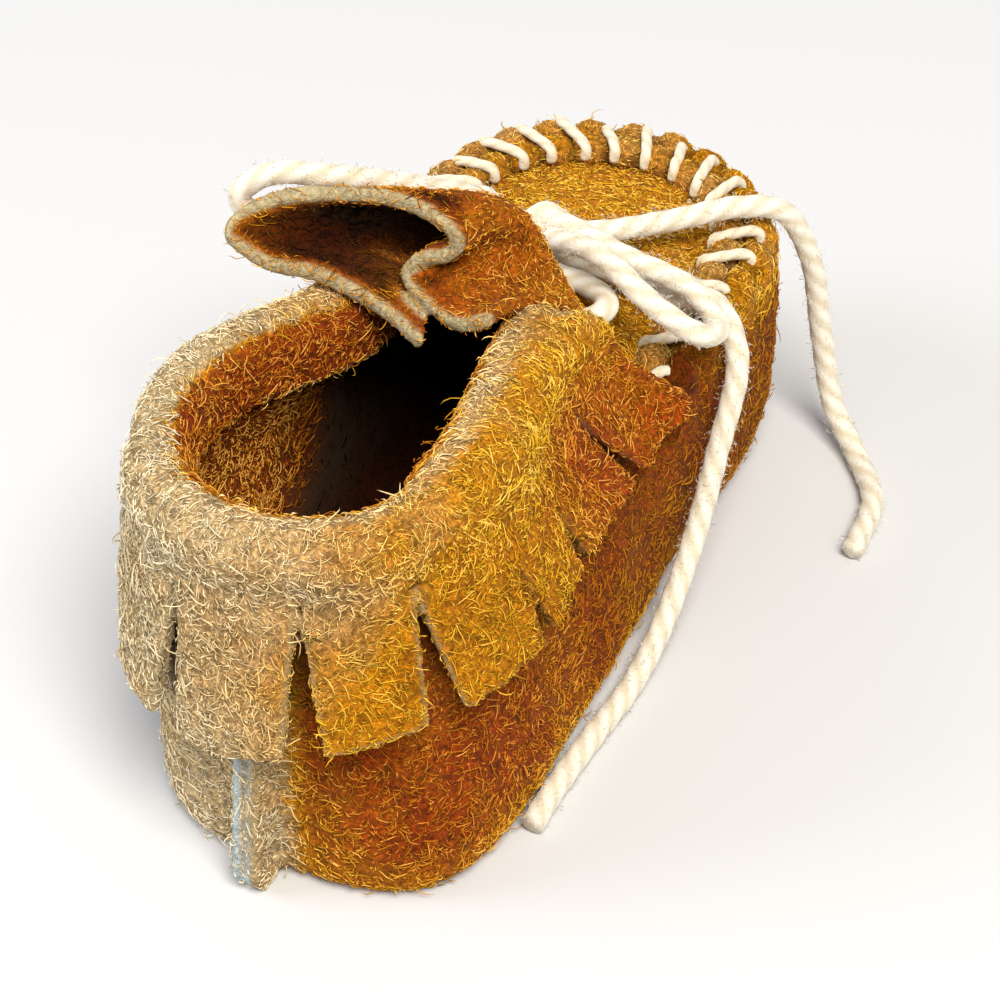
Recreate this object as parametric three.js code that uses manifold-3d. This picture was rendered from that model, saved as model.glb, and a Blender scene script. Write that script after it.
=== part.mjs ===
// Moccasin bootie for a small child, in soft split suede: one shoe, standing empty.
// Millimetres, +Z up, +Y toe, +X the shoe's right, sole on z = 0.
import * as THREE from 'three';
import { mergeVertices } from 'three/addons/utils/BufferGeometryUtils.js';
import Module from 'manifold-3d';

const wasm = await Module();
wasm.setup();

// Main sizes
const SUEDE = 1.8;
const GAP = 0.3;
const LACE_D = 2.9;
const LACE_SIDES = 8;
const HEEL_Y = -31;
const WAIST_Y = -1;
const THROAT_Y = 10;
const TOE_Y = 33.5;
const STATION_Y = [HEEL_Y, WAIST_Y, THROAT_Y, TOE_Y];

// Puckers of the toe edge, counted on each side of the shoe
const PUCKERS_SIDE = 4;
const PUCKERS_TOE = 6;
const STEPS_PER_PUCKER = 5;
// How full a pucker is, and the share of it that shows inside
const PUCKER_FULL = 0.7;
const PUCKER_INSIDE = 0.4;

// Levels of the outside of the bottom piece, from the floor to the top edge.
// w: half width at heel, waist, throat and toe. z: height at the same four stations.
// lean: shift of the middle to the right at heel and waist. deep: heel centre to heel back.
// square: exponent of the heel's plan curve. out and up: size of a pucker at this level.
const LEVELS = [
  {
    name: 'sole', w: [19.6, 19.6, 19.8, 20.2], z: [0, 0, 0, 0],
    lean: [1.7, 0.6], deep: 21.4, square: 3.2, out: 0, up: 0,
  },
  {
    name: 'turn', w: [21.4, 22.0, 22.2, 22.8], z: [2.2, 2.2, 2.2, 2.2],
    lean: [1.7, 0.6], deep: 22.8, square: 3.1, out: 0, up: 0,
  },
  {
    name: 'bulge', w: [22.0, 23.0, 23.4, 24.2], z: [8, 8, 8, 8],
    lean: [1.5, 0.5], deep: 23.0, square: 2.9, out: 0, up: 0,
  },
  {
    name: 'side', w: [21.7, 22.8, 24.0, 24.7], z: [18, 17, 16, 16],
    lean: [0.8, 0.2], deep: 22.5, square: 2.6, out: 0.1, up: 0,
  },
  {
    name: 'shoulder', w: [20.6, 19.6, 23.6, 24.3], z: [31, 28, 23.5, 24],
    lean: [-0.6, -0.6], deep: 21.6, square: 2.3, out: 0.45, up: 0,
  },
  {
    name: 'under', w: [18.8, 13.9, 22.7, 23.4], z: [40, 35.6, 27.6, 28.4],
    lean: [-1.8, -1.3], deep: 20.8, square: 2.2, out: 0.9, up: 0,
  },
  {
    name: 'lip', w: [18.1, 12.2, 22.1, 22.7], z: [44.4, 39.5, 31.0, 31.8],
    lean: [-2.4, -1.5], deep: 20.4, square: 2.15, out: 1.6, up: 1.0,
  },
  {
    name: 'edge', w: [17.2, 11.3, 20.4, 20.9], z: [45, 40, 32.2, 33.0],
    lean: [-2.4, -1.5], deep: 19.5, square: 2.15, out: 0.5, up: 2.6,
  },
  {
    name: 'inside lip', w: [16.3, 10.4, 18.7, 19.1], z: [44.4, 39.5, 30.8, 31.6],
    lean: [-2.4, -1.5], deep: 18.6, square: 2.15, out: 0, up: 0,
  },
];
const OUTER_COUNT = 7;

// Raw heel seam that stands out at the back: wall side and free side at each height
const SEAM_X = -0.6;
const SEAM_ROWS = [
  { z: 0, wall: -51.8, free: -57.2 },
  { z: 2.5, wall: -53.2, free: -58.6 },
  { z: 12, wall: -53.1, free: -57.8 },
  { z: 22, wall: -52.5, free: -56.2 },
  { z: 31, wall: -51.7, free: -54.2 },
  { z: 38, wall: -51.1, free: -52.6 },
];

// Folded cuff: section of the roll, as distance out from the wall's face and height over its top edge
const ROLL_OUTSIDE = [
  { out: 3.8, up: 0.6 }, { out: 4.1, up: 2.4 }, { out: 3.5, up: 4.4 }, { out: 1.9, up: 5.7 },
  { out: -0.2, up: 6.1 }, { out: -2.3, up: 5.5 }, { out: -3.8, up: 3.9 }, { out: -4.1, up: 1.6 },
  { out: -4.1, up: -3.4 },
];
const ROLL_INSIDE = [
  { out: -2.2, up: -3.4 }, { out: -2.2, up: 2.6 }, { out: -1.6, up: 3.9 }, { out: -0.1, up: 4.4 },
  { out: 1.5, up: 4.0 }, { out: 2.4, up: 2.9 }, { out: 2.1, up: 1.2 },
];
const ROLL_TOP = 6.1;
// Height of the roll's section over the wall's top edge, and where the lace runs in it
const ROLL_LIFT = 0.6;
const CASING = { out: 0.1, up: 2.15, end: 2.16, steps: 14 };
// Lapels: how far the cuff's front ends reach aside and ahead, at each drop under the roll's top
const LAPEL_START = 1.75;
const LAPEL = [
  { drop: 0, side: 0, ahead: 3.4 }, { drop: 1.7, side: 0.3, ahead: 5.2 },
  { drop: 3.7, side: 1.0, ahead: 6.2 }, { drop: 5.5, side: 1.1, ahead: 7.0 },
  { drop: 7.5, side: 0, ahead: 7.4 }, { drop: 9.8, side: 0, ahead: 7.2 },
  { drop: 12.4, side: -0.6, ahead: 5.4 }, { drop: 15, side: 0, ahead: 0 }, { drop: 40, side: 0, ahead: 0 },
];
const CUFF_STEPS = 12;
const CREASE_DROP = 7.5;
const CUFF_END = 2.2;
// Hang of the cuff from heel back (0) over heel side (1) to the front end (2.2): forward rake,
// distance from the wall under the roll and further flare on the right and left side
const HANG_ROWS = [
  { at: 0, rake: 0, crease: 1.3, right: 2.7, left: 2.2 },
  { at: 1, rake: 0, crease: 1.9, right: 2.7, left: 0.4 },
  { at: 1.5, rake: 0.35, crease: 2.2, right: 1.9, left: -0.4 },
  { at: 2, rake: 1.1, crease: 3.0, right: 0.4, left: -1.2 },
  { at: 2.2, rake: 1.2, crease: 4.2, right: -0.8, left: -2.4 },
];
// Hem of the tabs along the cuff, minus is the left side: drop under the roll's top
const HEM = [
  { at: -2.2, drop: 15 }, { at: -2, drop: 17 }, { at: -1.5, drop: 23.5 }, { at: -1, drop: 27 },
  { at: -0.3, drop: 29.2 }, { at: -0.1, drop: 29.6 }, { at: 0.02, drop: 28.6 }, { at: 0.12, drop: 26.4 },
  { at: 0.24, drop: 24.8 }, { at: 0.54, drop: 21.9 }, { at: 0.92, drop: 20.4 }, { at: 1.2, drop: 18.9 },
  { at: 1.62, drop: 19 }, { at: 1.74, drop: 18.6 }, { at: 2, drop: 15.8 }, { at: 2.2, drop: 13.6 },
];
// Cuts of the fringe along the cuff: place at the hem and of the point, width at the hem, drop of the point
const SLOTS = [
  { at: -1.72, top: -1.72, wide: 2.2, point: 9 }, { at: -1.38, top: -1.38, wide: 2.6, point: 9 },
  { at: -0.98, top: -0.98, wide: 3.0, point: 9 }, { at: -0.60, top: -0.60, wide: 3.6, point: 9.5 },
  { at: -0.22, top: -0.20, wide: 4.0, point: 9.5 }, { at: 0.16, top: 0.215, wide: 4.8, point: 9.5 },
  { at: 0.565, top: 0.59, wide: 3.8, point: 9 }, { at: 0.93, top: 0.95, wide: 1.6, point: 14.5 },
  { at: 1.2, top: 1.22, wide: 1.4, point: 14 }, { at: 1.67, top: 1.71, wide: 2.6, point: 9.5 },
];
// Share of its length that a cut runs on past the hem, and its reach behind and before the leg's inside
const SLOT_RUN_OUT = 0.12;
const SLOT_REACH = [-1.6, 9];

// Vamp: rise of its middle over its edge at the throat and at the toe
const VAMP_EDGE_Z = 30.2;
const VAMP_RISE = [6.0, 0.6];
// Its arch: half width at the throat, length past the toe station, and the middle that its rings shrink to
const VAMP_ARCH = { half: 18.7, toe: 19, middle: [0, 31] };
const VAMP_RINGS = [1, 0.86, 0.6, 0.3];
const VAMP_SIDE = { steps: 24, reach: 1.96 };
const VAMP_BACK_STEPS = 10;

// Tongue: the curl of its free edge, row by row from the turned-under left side to the right hook
const TONGUE_EDGE = [
  { x: -1.2, y: -10.8, z: 44.5 }, { x: -6.3, y: -9.0, z: 46.0 }, { x: -11.2, y: -8.6, z: 47.6 },
  { x: -16.4, y: -9.0, z: 48.9 }, { x: -20.7, y: -11.0, z: 49.9 }, { x: -24.6, y: -11.2, z: 51.4 },
  { x: -26.8, y: -10.8, z: 52.6 }, { x: -26.0, y: -8.2, z: 54.6 }, { x: -22.0, y: -5.4, z: 56.2 },
  { x: -15.8, y: -3.4, z: 57.2 }, { x: -9.5, y: -2.3, z: 57.4 }, { x: -4.0, y: -2.4, z: 56.4 },
  { x: -0.8, y: -2.8, z: 54.2 }, { x: -2.0, y: -3.4, z: 51.8 }, { x: -5.4, y: -3.8, z: 51.0 },
  { x: -6.9, y: -4.8, z: 49.0 }, { x: -3.6, y: -6.2, z: 47.2 }, { x: 1.6, y: -7.4, z: 46.0 },
  { x: 5.0, y: -6.6, z: 47.6 },
];
const TONGUE_ROOT_W = 15.5;
const TONGUE_ROOT_Y = THROAT_Y - 0.2;
const TONGUE_NECK = { left: -9.5, right: 8.5, y: 9, z: 46.6, arch: 1.2 };
// Rounded shoulder on the tongue's right, as a share of its width, and how far it swells
const TONGUE_SHOULDER = { from: 0.4, to: 1.0, up: 11.5, ahead: 2.5 };
const TONGUE_ACROSS = 42;
const TONGUE_ALONG = 8;

// Lace routes, point by point from the knot outwards
const KNOT = { x: -3.5, y: 18, z: 41.0, r: 3.6 };
const LOOP_RIGHT = [
  { x: 0.9, y: 17.2, z: 42.7 }, { x: 10.0, y: 13.4, z: 45.4 }, { x: 19.0, y: 10.4, z: 42.4 },
  { x: 24.4, y: 11.4, z: 39.4 }, { x: 25.0, y: 15.4, z: 38.0 }, { x: 20.2, y: 18.8, z: 39.6 },
  { x: 11.0, y: 18.4, z: 42.2 }, { x: 0.4, y: 19.8, z: 44.2 },
];
const LOOP_LEFT = [
  { x: -7.8, y: 20.0, z: 43.7 }, { x: -13.0, y: 12.4, z: 48.8 }, { x: -20.0, y: 4.4, z: 53.2 },
  { x: -26.6, y: 0.2, z: 54.2 }, { x: -29.8, y: -1.4, z: 51.2 }, { x: -27.4, y: -0.4, z: 47.4 },
  { x: -18.6, y: 4.6, z: 46.0 }, { x: -8.0, y: 16.4, z: 43.2 },
];
const END_FRONT = [
  { x: -0.8, y: 21.5, z: 40.5 }, { x: 5.0, y: 25.4, z: 39.2 }, { x: 12.0, y: 32.6, z: 38.4 },
  { x: 18.0, y: 39.0, z: 38.1 }, { x: 22.5, y: 43.5, z: 35.9 }, { x: 25.8, y: 46.2, z: 28.0 },
  { x: 28.0, y: 46.8, z: 16.0 }, { x: 31.0, y: 45.6, z: 5.6 }, { x: 36.0, y: 41.6, z: 1.9 },
  { x: 41.0, y: 34.0, z: 1.7 }, { x: 42.0, y: 24.0, z: 1.7 },
];
const END_SIDE = [
  { x: 1.0, y: 18.8, z: 39.6 }, { x: 8.0, y: 20.0, z: 38.2 }, { x: 16.0, y: 21.0, z: 36.0 },
  { x: 22.4, y: 21.0, z: 36.8 }, { x: 26.4, y: 19.0, z: 31.6 }, { x: 26.8, y: 13.0, z: 21.0 },
  { x: 26.8, y: 5.4, z: 11.0 }, { x: 26.6, y: -3.4, z: 4.4 }, { x: 26.2, y: -11.0, z: 1.9 },
  { x: 25.4, y: -20.0, z: 1.7 }, { x: 24.8, y: -30.0, z: 1.7 }, { x: 24.8, y: -36.0, z: 1.7 },
];

const COLOURS = { suede: 0xb9833f, inner: 0xa9742f, lace: 0xeae0c8 };

// Small helpers
const mix = (a, b, t) => a + (b - a) * t;
const ease = (t) => t * t * (3 - 2 * t);

function meshOf(name, geometry, colour, roughness) {
  const material = new THREE.MeshStandardMaterial({ color: colour, roughness, metalness: 0 });
  const mesh = new THREE.Mesh(geometry, material);
  mesh.name = name;
  return mesh;
}

function geometryOf(points, faces) {
  const geometry = new THREE.BufferGeometry();
  geometry.setAttribute('position', new THREE.Float32BufferAttribute(points.flat(), 3));
  geometry.setIndex(faces.flat());
  return geometry;
}

function solidOf(geometry) {
  const plain = geometry.clone();
  plain.deleteAttribute('normal');
  plain.deleteAttribute('uv');
  const welded = mergeVertices(plain, 1e-4);
  return new wasm.Manifold(new wasm.Mesh({
    numProp: 3,
    vertProperties: new Float32Array(welded.attributes.position.array),
    triVerts: new Uint32Array(welded.index.array),
  }));
}

function geometryFrom(solid) {
  const mesh = solid.getMesh();
  const geometry = new THREE.BufferGeometry();
  const count = mesh.vertProperties.length / mesh.numProp;
  const points = [];
  for (let i = 0; i < count; i += 1) {
    points.push(...mesh.vertProperties.slice(i * mesh.numProp, i * mesh.numProp + 3));
  }
  geometry.setAttribute('position', new THREE.Float32BufferAttribute(points, 3));
  geometry.setIndex(Array.from(mesh.triVerts));
  return geometry;
}

// Place along the shoe: 0 heel back, 1 heel side, 2 waist, 3 throat, 4 toe side, 5 toe front.
// Minus runs up the left side.
function stationMix(values, q) {
  const k = Math.min(2, Math.max(0, Math.floor(q) - 1));
  const t = Math.min(1, Math.max(0, q - 1 - k));
  return mix(values[k], values[k + 1], ease(t));
}

function pucker(q) {
  if (q <= 3) {
    return 0;
  }
  const count = q < 4 ? (q - 3) * PUCKERS_SIDE : (q - 4) * PUCKERS_TOE;
  return Math.pow(Math.abs(Math.sin(Math.PI * count)), PUCKER_FULL);
}

function levelPoint(level, p) {
  const side = p < 0 ? -1 : 1;
  const q = Math.abs(p);
  const bump = pucker(q);
  const z = stationMix(level.z, q) + level.up * bump;
  const lean = stationMix([level.lean[0], level.lean[1], 0, 0], q);
  if (q <= 1) {
    const angle = (q * Math.PI) / 2;
    const power = 2 / level.square;
    const x = level.w[0] * Math.pow(Math.max(0, Math.sin(angle)), power);
    const y = HEEL_Y - level.deep * Math.pow(Math.max(0, Math.cos(angle)), power);
    return [side * x + level.lean[0], y, z];
  }
  if (q <= 4) {
    const k = Math.min(2, Math.floor(q) - 1);
    const y = mix(STATION_Y[k], STATION_Y[k + 1], q - 1 - k);
    return [side * (stationMix(level.w, q) + level.out * bump) + lean, y, z];
  }
  const angle = ((q - 4) * Math.PI) / 2;
  const radius = level.w[3] + level.out * bump;
  return [side * radius * Math.cos(angle), TOE_Y + radius * Math.sin(angle), z];
}

function placesRound() {
  const spans = [[0, 1, 10], [1, 2, 8], [2, 3, 5], [3, 4, PUCKERS_SIDE * STEPS_PER_PUCKER],
    [4, 5, PUCKERS_TOE * STEPS_PER_PUCKER]];
  const half = [];
  for (const [from, to, steps] of spans) {
    for (let i = 0; i < steps; i += 1) {
      half.push(mix(from, to, i / steps));
    }
  }
  half.push(5);
  const left = half.slice(1).reverse().map((q) => -q);
  return [...left, ...half.slice(0, -1)];
}

function insideOf(level) {
  const lower = { sole: [SUEDE, 1.2], turn: [SUEDE + 1.6, SUEDE] }[level.name];
  const z = lower ? level.z.map(() => lower[0]) : level.z;
  const wall = lower ? lower[1] : SUEDE;
  const w = level.w.map((half) => half - wall);
  return { ...level, z, w, deep: level.deep - wall, out: level.out * PUCKER_INSIDE, up: 0 };
}

// A closed skin through a row of rings, with a flat cap on the first and the last
function ringSkin(rings) {
  const count = rings[0].length;
  const points = rings.flat();
  const faces = [];
  for (let r = 0; r + 1 < rings.length; r += 1) {
    for (let i = 0; i < count; i += 1) {
      const j = (i + 1) % count;
      const a = r * count;
      const b = a + count;
      faces.push([a + i, a + j, b + j], [a + i, b + j, b + i]);
    }
  }
  const last = (rings.length - 1) * count;
  const lower = points.length;
  points.push([0, 0, rings[0][0][2]]);
  points.push([0, 0, rings[rings.length - 1][0][2]]);
  for (let i = 0; i < count; i += 1) {
    const j = (i + 1) % count;
    faces.push([lower, j, i], [lower + 1, last + i, last + j]);
  }
  return geometryOf(points, faces);
}

function bottomPiece() {
  const places = placesRound();
  const inner = LEVELS.slice(0, OUTER_COUNT - 1).map(insideOf).reverse();
  const rings = [...LEVELS, ...inner].map((level) => places.map((p) => levelPoint(level, p)));
  const shell = solidOf(ringSkin(rings));
  const outline = new THREE.Shape();
  SEAM_ROWS.forEach((row, i) => (i ? outline.lineTo(row.free, row.z) : outline.moveTo(row.free, row.z)));
  [...SEAM_ROWS].reverse().forEach((row) => outline.lineTo(row.wall, row.z));
  outline.closePath();
  const plate = new THREE.ExtrudeGeometry(outline, { depth: 2 * SUEDE, bevelEnabled: false });
  const turn = new THREE.Matrix4().makeBasis(
    new THREE.Vector3(0, 1, 0), new THREE.Vector3(0, 0, 1), new THREE.Vector3(1, 0, 0));
  plate.applyMatrix4(turn);
  plate.translate(SEAM_X - SUEDE, 0, 0);
  return geometryFrom(shell.add(solidOf(plate)));
}

// Outside of the wall at a place and a height
function wallAt(p, z) {
  const column = LEVELS.slice(0, OUTER_COUNT).map((level) => levelPoint({ ...level, out: 0, up: 0 }, p));
  for (let i = 0; i + 1 < column.length; i += 1) {
    if (z <= column[i + 1][2]) {
      const t = Math.max(0, (z - column[i][2]) / (column[i + 1][2] - column[i][2]));
      return [mix(column[i][0], column[i + 1][0], t), mix(column[i][1], column[i + 1][1], t)];
    }
  }
  return column[column.length - 1].slice(0, 2);
}

function outwardAt(p, z) {
  const before = wallAt(p - 0.04, z);
  const after = wallAt(p + 0.04, z);
  const along = new THREE.Vector2(after[0] - before[0], after[1] - before[1]).normalize();
  return [along.y, -along.x];
}

function hangRow(q) {
  for (let i = 0; i + 1 < HANG_ROWS.length; i += 1) {
    const a = HANG_ROWS[i];
    const b = HANG_ROWS[i + 1];
    if (q <= b.at) {
      const t = (q - a.at) / (b.at - a.at);
      return Object.fromEntries(Object.keys(a).map((key) => [key, mix(a[key], b[key], t)]));
    }
  }
  return HANG_ROWS[HANG_ROWS.length - 1];
}

function hemAt(p) {
  const k = Math.max(1, HEM.findIndex((row) => p <= row.at + 1e-6));
  const t = (p - HEM[k - 1].at) / (HEM[k].at - HEM[k - 1].at);
  return mix(HEM[k - 1].drop, HEM[k].drop, Math.min(1, Math.max(0, t)));
}

function forwardPlace(p, shift) {
  const side = p < 0 ? -1 : 1;
  const q = Math.abs(p);
  if (q < 1 || shift === 0) {
    return p;
  }
  const y = (q < 2 ? mix(HEEL_Y, WAIST_Y, q - 1) : mix(WAIST_Y, THROAT_Y, q - 2)) + shift;
  if (y < WAIST_Y) {
    return side * (1 + (y - HEEL_Y) / (WAIST_Y - HEEL_Y));
  }
  return side * (2 + (y - WAIST_Y) / (THROAT_Y - WAIST_Y));
}

const topAt = (p) => levelPoint(LEVELS[OUTER_COUNT - 1], p);

// Shift of the cuff's outer face near its front ends, at a drop under the roll's top
function lapelAt(p, drop) {
  const q = Math.abs(p);
  const share = ease(Math.min(1, Math.max(0, (q - LAPEL_START) / (CUFF_END - LAPEL_START))));
  const k = Math.max(1, LAPEL.findIndex((row) => drop <= row.drop));
  const [before, after] = [LAPEL[k - 1], LAPEL[k]];
  const t = Math.min(1, Math.max(0, (drop - before.drop) / (after.drop - before.drop)));
  const side = p < 0 ? -1 : 1;
  return [side * share * mix(before.side, after.side, t), share * mix(before.ahead, after.ahead, t)];
}

function rollPoint(p, spot) {
  const top = topAt(p);
  const n = outwardAt(p, top[2]);
  const [side, ahead] = spot.out > 1 ? lapelAt(p, ROLL_TOP - spot.up) : [0, 0];
  return [top[0] + n[0] * spot.out + side, top[1] + n[1] * spot.out + ahead, top[2] + ROLL_LIFT + spot.up];
}

// A point of the hanging leg: its drop under the roll's top and its distance from the wall
function legPoint(p, drop, extra) {
  const { rake, crease, right, left } = hangRow(Math.abs(p));
  const side = Math.min(1, Math.max(0, 0.5 + p));
  const flare = mix(left, right, side);
  const top = topAt(p);
  const z = top[2] + ROLL_TOP + ROLL_LIFT - drop;
  const fall = Math.max(0, drop - CREASE_DROP);
  const place = forwardPlace(p, rake * fall);
  const wall = wallAt(place, z);
  const n = outwardAt(place, z);
  const off = crease + flare * Math.pow(fall / (hemAt(p) - CREASE_DROP), 1.5) + extra;
  const [lapel, ahead] = lapelAt(p, drop);
  return [wall[0] + n[0] * off + lapel, wall[1] + n[1] * off + ahead, z];
}

function cuffPiece() {
  const sections = [];
  for (let i = -2 * CUFF_STEPS; i <= 2 * CUFF_STEPS; i += 1) {
    const p = (CUFF_END * i) / (2 * CUFF_STEPS);
    const drops = [0, 0.3, 0.65, 1].map((t) => mix(CREASE_DROP, hemAt(p), t));
    const down = [...drops].reverse();
    sections.push([
      ...down.map((d) => legPoint(p, d, SUEDE)),
      ...ROLL_OUTSIDE.map((spot) => rollPoint(p, spot)),
      ...ROLL_INSIDE.map((spot) => rollPoint(p, spot)),
      ...drops.map((d) => legPoint(p, d, 0)),
    ]);
  }
  const count = sections[0].length;
  const points = sections.flat();
  const faces = [];
  for (let s = 0; s + 1 < sections.length; s += 1) {
    for (let i = 0; i < count; i += 1) {
      const j = (i + 1) % count;
      const a = s * count;
      const b = a + count;
      faces.push([a + i, b + i, b + j], [a + i, b + j, a + j]);
    }
  }
  // The section is a folded strip: its two faces run side by side, so its ends close quad by quad
  const ends = [[0, false], [(sections.length - 1) * count, true]];
  const half = count / 2;
  for (const [base, flip] of ends) {
    for (let i = 0; i + 1 < half; i += 1) {
      const a = base + i;
      const b = base + i + 1;
      const c = base + count - 2 - i;
      const d = base + count - 1 - i;
      const quad = [[a, b, c], [a, c, d]];
      quad.forEach((f) => faces.push(flip ? [f[0], f[2], f[1]] : f));
    }
  }
  let cuff = solidOf(geometryOf(points, faces));
  for (const slot of SLOTS) {
    cuff = cuff.subtract(solidOf(slotWedge(slot)));
  }
  return geometryFrom(cuff);
}

function slotWedge(slot) {
  const hang = hemAt(slot.at);
  const apex = new THREE.Vector3(...legPoint(slot.top, slot.point, 0));
  const hem = new THREE.Vector3(...legPoint(slot.at, hang, 0));
  const before = new THREE.Vector3(...legPoint(slot.at - 0.05, hang, 0));
  const after = new THREE.Vector3(...legPoint(slot.at + 0.05, hang, 0));
  const along = after.sub(before).normalize();
  const fall = hem.clone().sub(apex);
  const low = hem.clone().addScaledVector(fall, SLOT_RUN_OUT);
  const outward = new THREE.Vector3().crossVectors(along, fall.clone().normalize().negate()).normalize();
  const reach = (slot.wide / 2) * (1 + SLOT_RUN_OUT);
  const corners = [apex, ...[-reach, reach].map((shift) => low.clone().addScaledVector(along, shift))];
  const points = [];
  for (const depth of SLOT_REACH) {
    corners.forEach((c) => points.push(c.clone().addScaledVector(outward, depth).toArray()));
  }
  const faces = [[0, 2, 1], [3, 4, 5], [0, 1, 4], [0, 4, 3], [1, 2, 5], [1, 5, 4], [2, 0, 3], [2, 3, 5]];
  return geometryOf(points, faces);
}

// A sheet of the given thickness over a grid of points
function sheetOf(grid, thick) {
  const rows = grid.length;
  const cols = grid[0].length;
  const at = (r, c) => grid[Math.min(rows - 1, Math.max(0, r))][Math.min(cols - 1, Math.max(0, c))];
  const top = [];
  const low = [];
  for (let r = 0; r < rows; r += 1) {
    for (let c = 0; c < cols; c += 1) {
      const along = at(r + 1, c).clone().sub(at(r - 1, c));
      const across = at(r, c + 1).clone().sub(at(r, c - 1));
      const normal = new THREE.Vector3().crossVectors(across, along).normalize();
      top.push(at(r, c).clone().addScaledVector(normal, thick / 2).toArray());
      low.push(at(r, c).clone().addScaledVector(normal, -thick / 2).toArray());
    }
  }
  const points = [...top, ...low];
  const n = rows * cols;
  const id = (r, c) => r * cols + c;
  const faces = [];
  for (let r = 0; r + 1 < rows; r += 1) {
    for (let c = 0; c + 1 < cols; c += 1) {
      const [a, b, d, e] = [id(r, c), id(r, c + 1), id(r + 1, c + 1), id(r + 1, c)];
      faces.push([a, b, d], [a, d, e], [n + a, n + d, n + b], [n + a, n + e, n + d]);
    }
  }
  const rim = [];
  for (let c = 0; c < cols - 1; c += 1) rim.push(id(0, c));
  for (let r = 0; r < rows - 1; r += 1) rim.push(id(r, cols - 1));
  for (let c = cols - 1; c > 0; c -= 1) rim.push(id(rows - 1, c));
  for (let r = rows - 1; r > 0; r -= 1) rim.push(id(r, 0));
  rim.forEach((a, i) => {
    const b = rim[(i + 1) % rim.length];
    faces.push([b, a, n + a], [b, n + a, n + b]);
  });
  return geometryOf(points, faces);
}

function vampRise(y) {
  const t = Math.min(1, Math.max(0, (y - THROAT_Y) / (TOE_Y + 18 - THROAT_Y)));
  return mix(VAMP_RISE[0], VAMP_RISE[1], ease(t));
}

// Vamp plug: rings that shrink from the toe seam to a middle point
function vampPiece() {
  const lip = LEVELS[LEVELS.length - 1];
  const plain = { ...lip, w: lip.w.map((w) => w - GAP), out: 0, up: 0 };
  const edge = [];
  for (let i = -VAMP_SIDE.steps; i <= VAMP_SIDE.steps; i += 1) {
    const p = (i < 0 ? -1 : 1) * (5 - (VAMP_SIDE.reach * Math.abs(i)) / VAMP_SIDE.steps);
    edge.push(levelPoint(plain, p).slice(0, 2));
  }
  edge.reverse();
  const first = edge[0];
  const last = edge[edge.length - 1];
  for (let i = 1; i < VAMP_BACK_STEPS; i += 1) {
    const t = i / VAMP_BACK_STEPS;
    edge.push([mix(last[0], first[0], t), mix(last[1], first[1], t)]);
  }
  const { middle } = VAMP_ARCH;
  const heightAt = (x, y) => {
    const side = Math.max(0, 1 - (x / VAMP_ARCH.half) ** 2);
    const front = y > TOE_Y ? Math.max(0, 1 - ((y - TOE_Y) / VAMP_ARCH.toe) ** 2) : 1;
    return VAMP_EDGE_Z + vampRise(y) * side * front;
  };
  const skin = (lift) => VAMP_RINGS.map((k) => edge.map(([x, y]) => {
    const px = mix(middle[0], x, k);
    const py = mix(middle[1], y, k);
    return [px, py, heightAt(px, py) + lift];
  }));
  const upper = skin(SUEDE / 2);
  const lower = skin(-SUEDE / 2).reverse();
  const rings = [...lower, ...upper];
  const geometry = ringSkin(rings);
  const spots = geometry.attributes.position;
  const mid = heightAt(middle[0], middle[1]);
  spots.setXYZ(spots.count - 2, middle[0], middle[1], mid - SUEDE / 2);
  spots.setXYZ(spots.count - 1, middle[0], middle[1], mid + SUEDE / 2);
  return geometry;
}

function tonguePiece() {
  const free = new THREE.CatmullRomCurve3(TONGUE_EDGE.map((r) => new THREE.Vector3(r.x, r.y, r.z)));
  const grid = [];
  const rootRise = VAMP_RISE[0];
  for (let r = 0; r <= TONGUE_ALONG; r += 1) {
    const v = r / TONGUE_ALONG;
    const row = [];
    for (let c = 0; c <= TONGUE_ACROSS; c += 1) {
      const u = c / TONGUE_ACROSS;
      const rx = mix(-TONGUE_ROOT_W, TONGUE_ROOT_W, u);
      const rise = rootRise * (1 - (rx / VAMP_ARCH.half) ** 2);
      const root = new THREE.Vector3(rx, TONGUE_ROOT_Y, VAMP_EDGE_Z + rise);
      const over = (u - TONGUE_SHOULDER.from) / (TONGUE_SHOULDER.to - TONGUE_SHOULDER.from);
      const swell = Math.sin(Math.PI * Math.max(0, over)) ** 2;
      const neck = new THREE.Vector3(
        mix(TONGUE_NECK.left, TONGUE_NECK.right, u),
        TONGUE_NECK.y + TONGUE_SHOULDER.ahead * swell,
        TONGUE_NECK.z + TONGUE_NECK.arch * (1 - (2 * u - 1) ** 2) + TONGUE_SHOULDER.up * swell);
      const end = free.getPointAt(u);
      const point = root.multiplyScalar((1 - v) ** 2);
      point.addScaledVector(neck, 2 * v * (1 - v));
      point.addScaledVector(end, v * v);
      row.push(point);
    }
    grid.push(row);
  }
  return sheetOf(grid, SUEDE);
}

// A round cord along a smooth route
function cordOf(route, steps) {
  const points = route.map((r) => new THREE.Vector3(r.x, r.y, r.z));
  const path = new THREE.CatmullRomCurve3(points, false, 'centripetal');
  const section = new THREE.Shape();
  for (let i = 0; i < LACE_SIDES; i += 1) {
    const a = (i / LACE_SIDES) * 2 * Math.PI;
    const x = (LACE_D / 2) * Math.cos(a);
    const y = (LACE_D / 2) * Math.sin(a);
    if (i) {
      section.lineTo(x, y);
    } else {
      section.moveTo(x, y);
    }
  }
  section.closePath();
  const tube = new THREE.ExtrudeGeometry(section, { steps, extrudePath: path, bevelEnabled: false });
  return geometryFrom(solidOf(tube));
}

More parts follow.
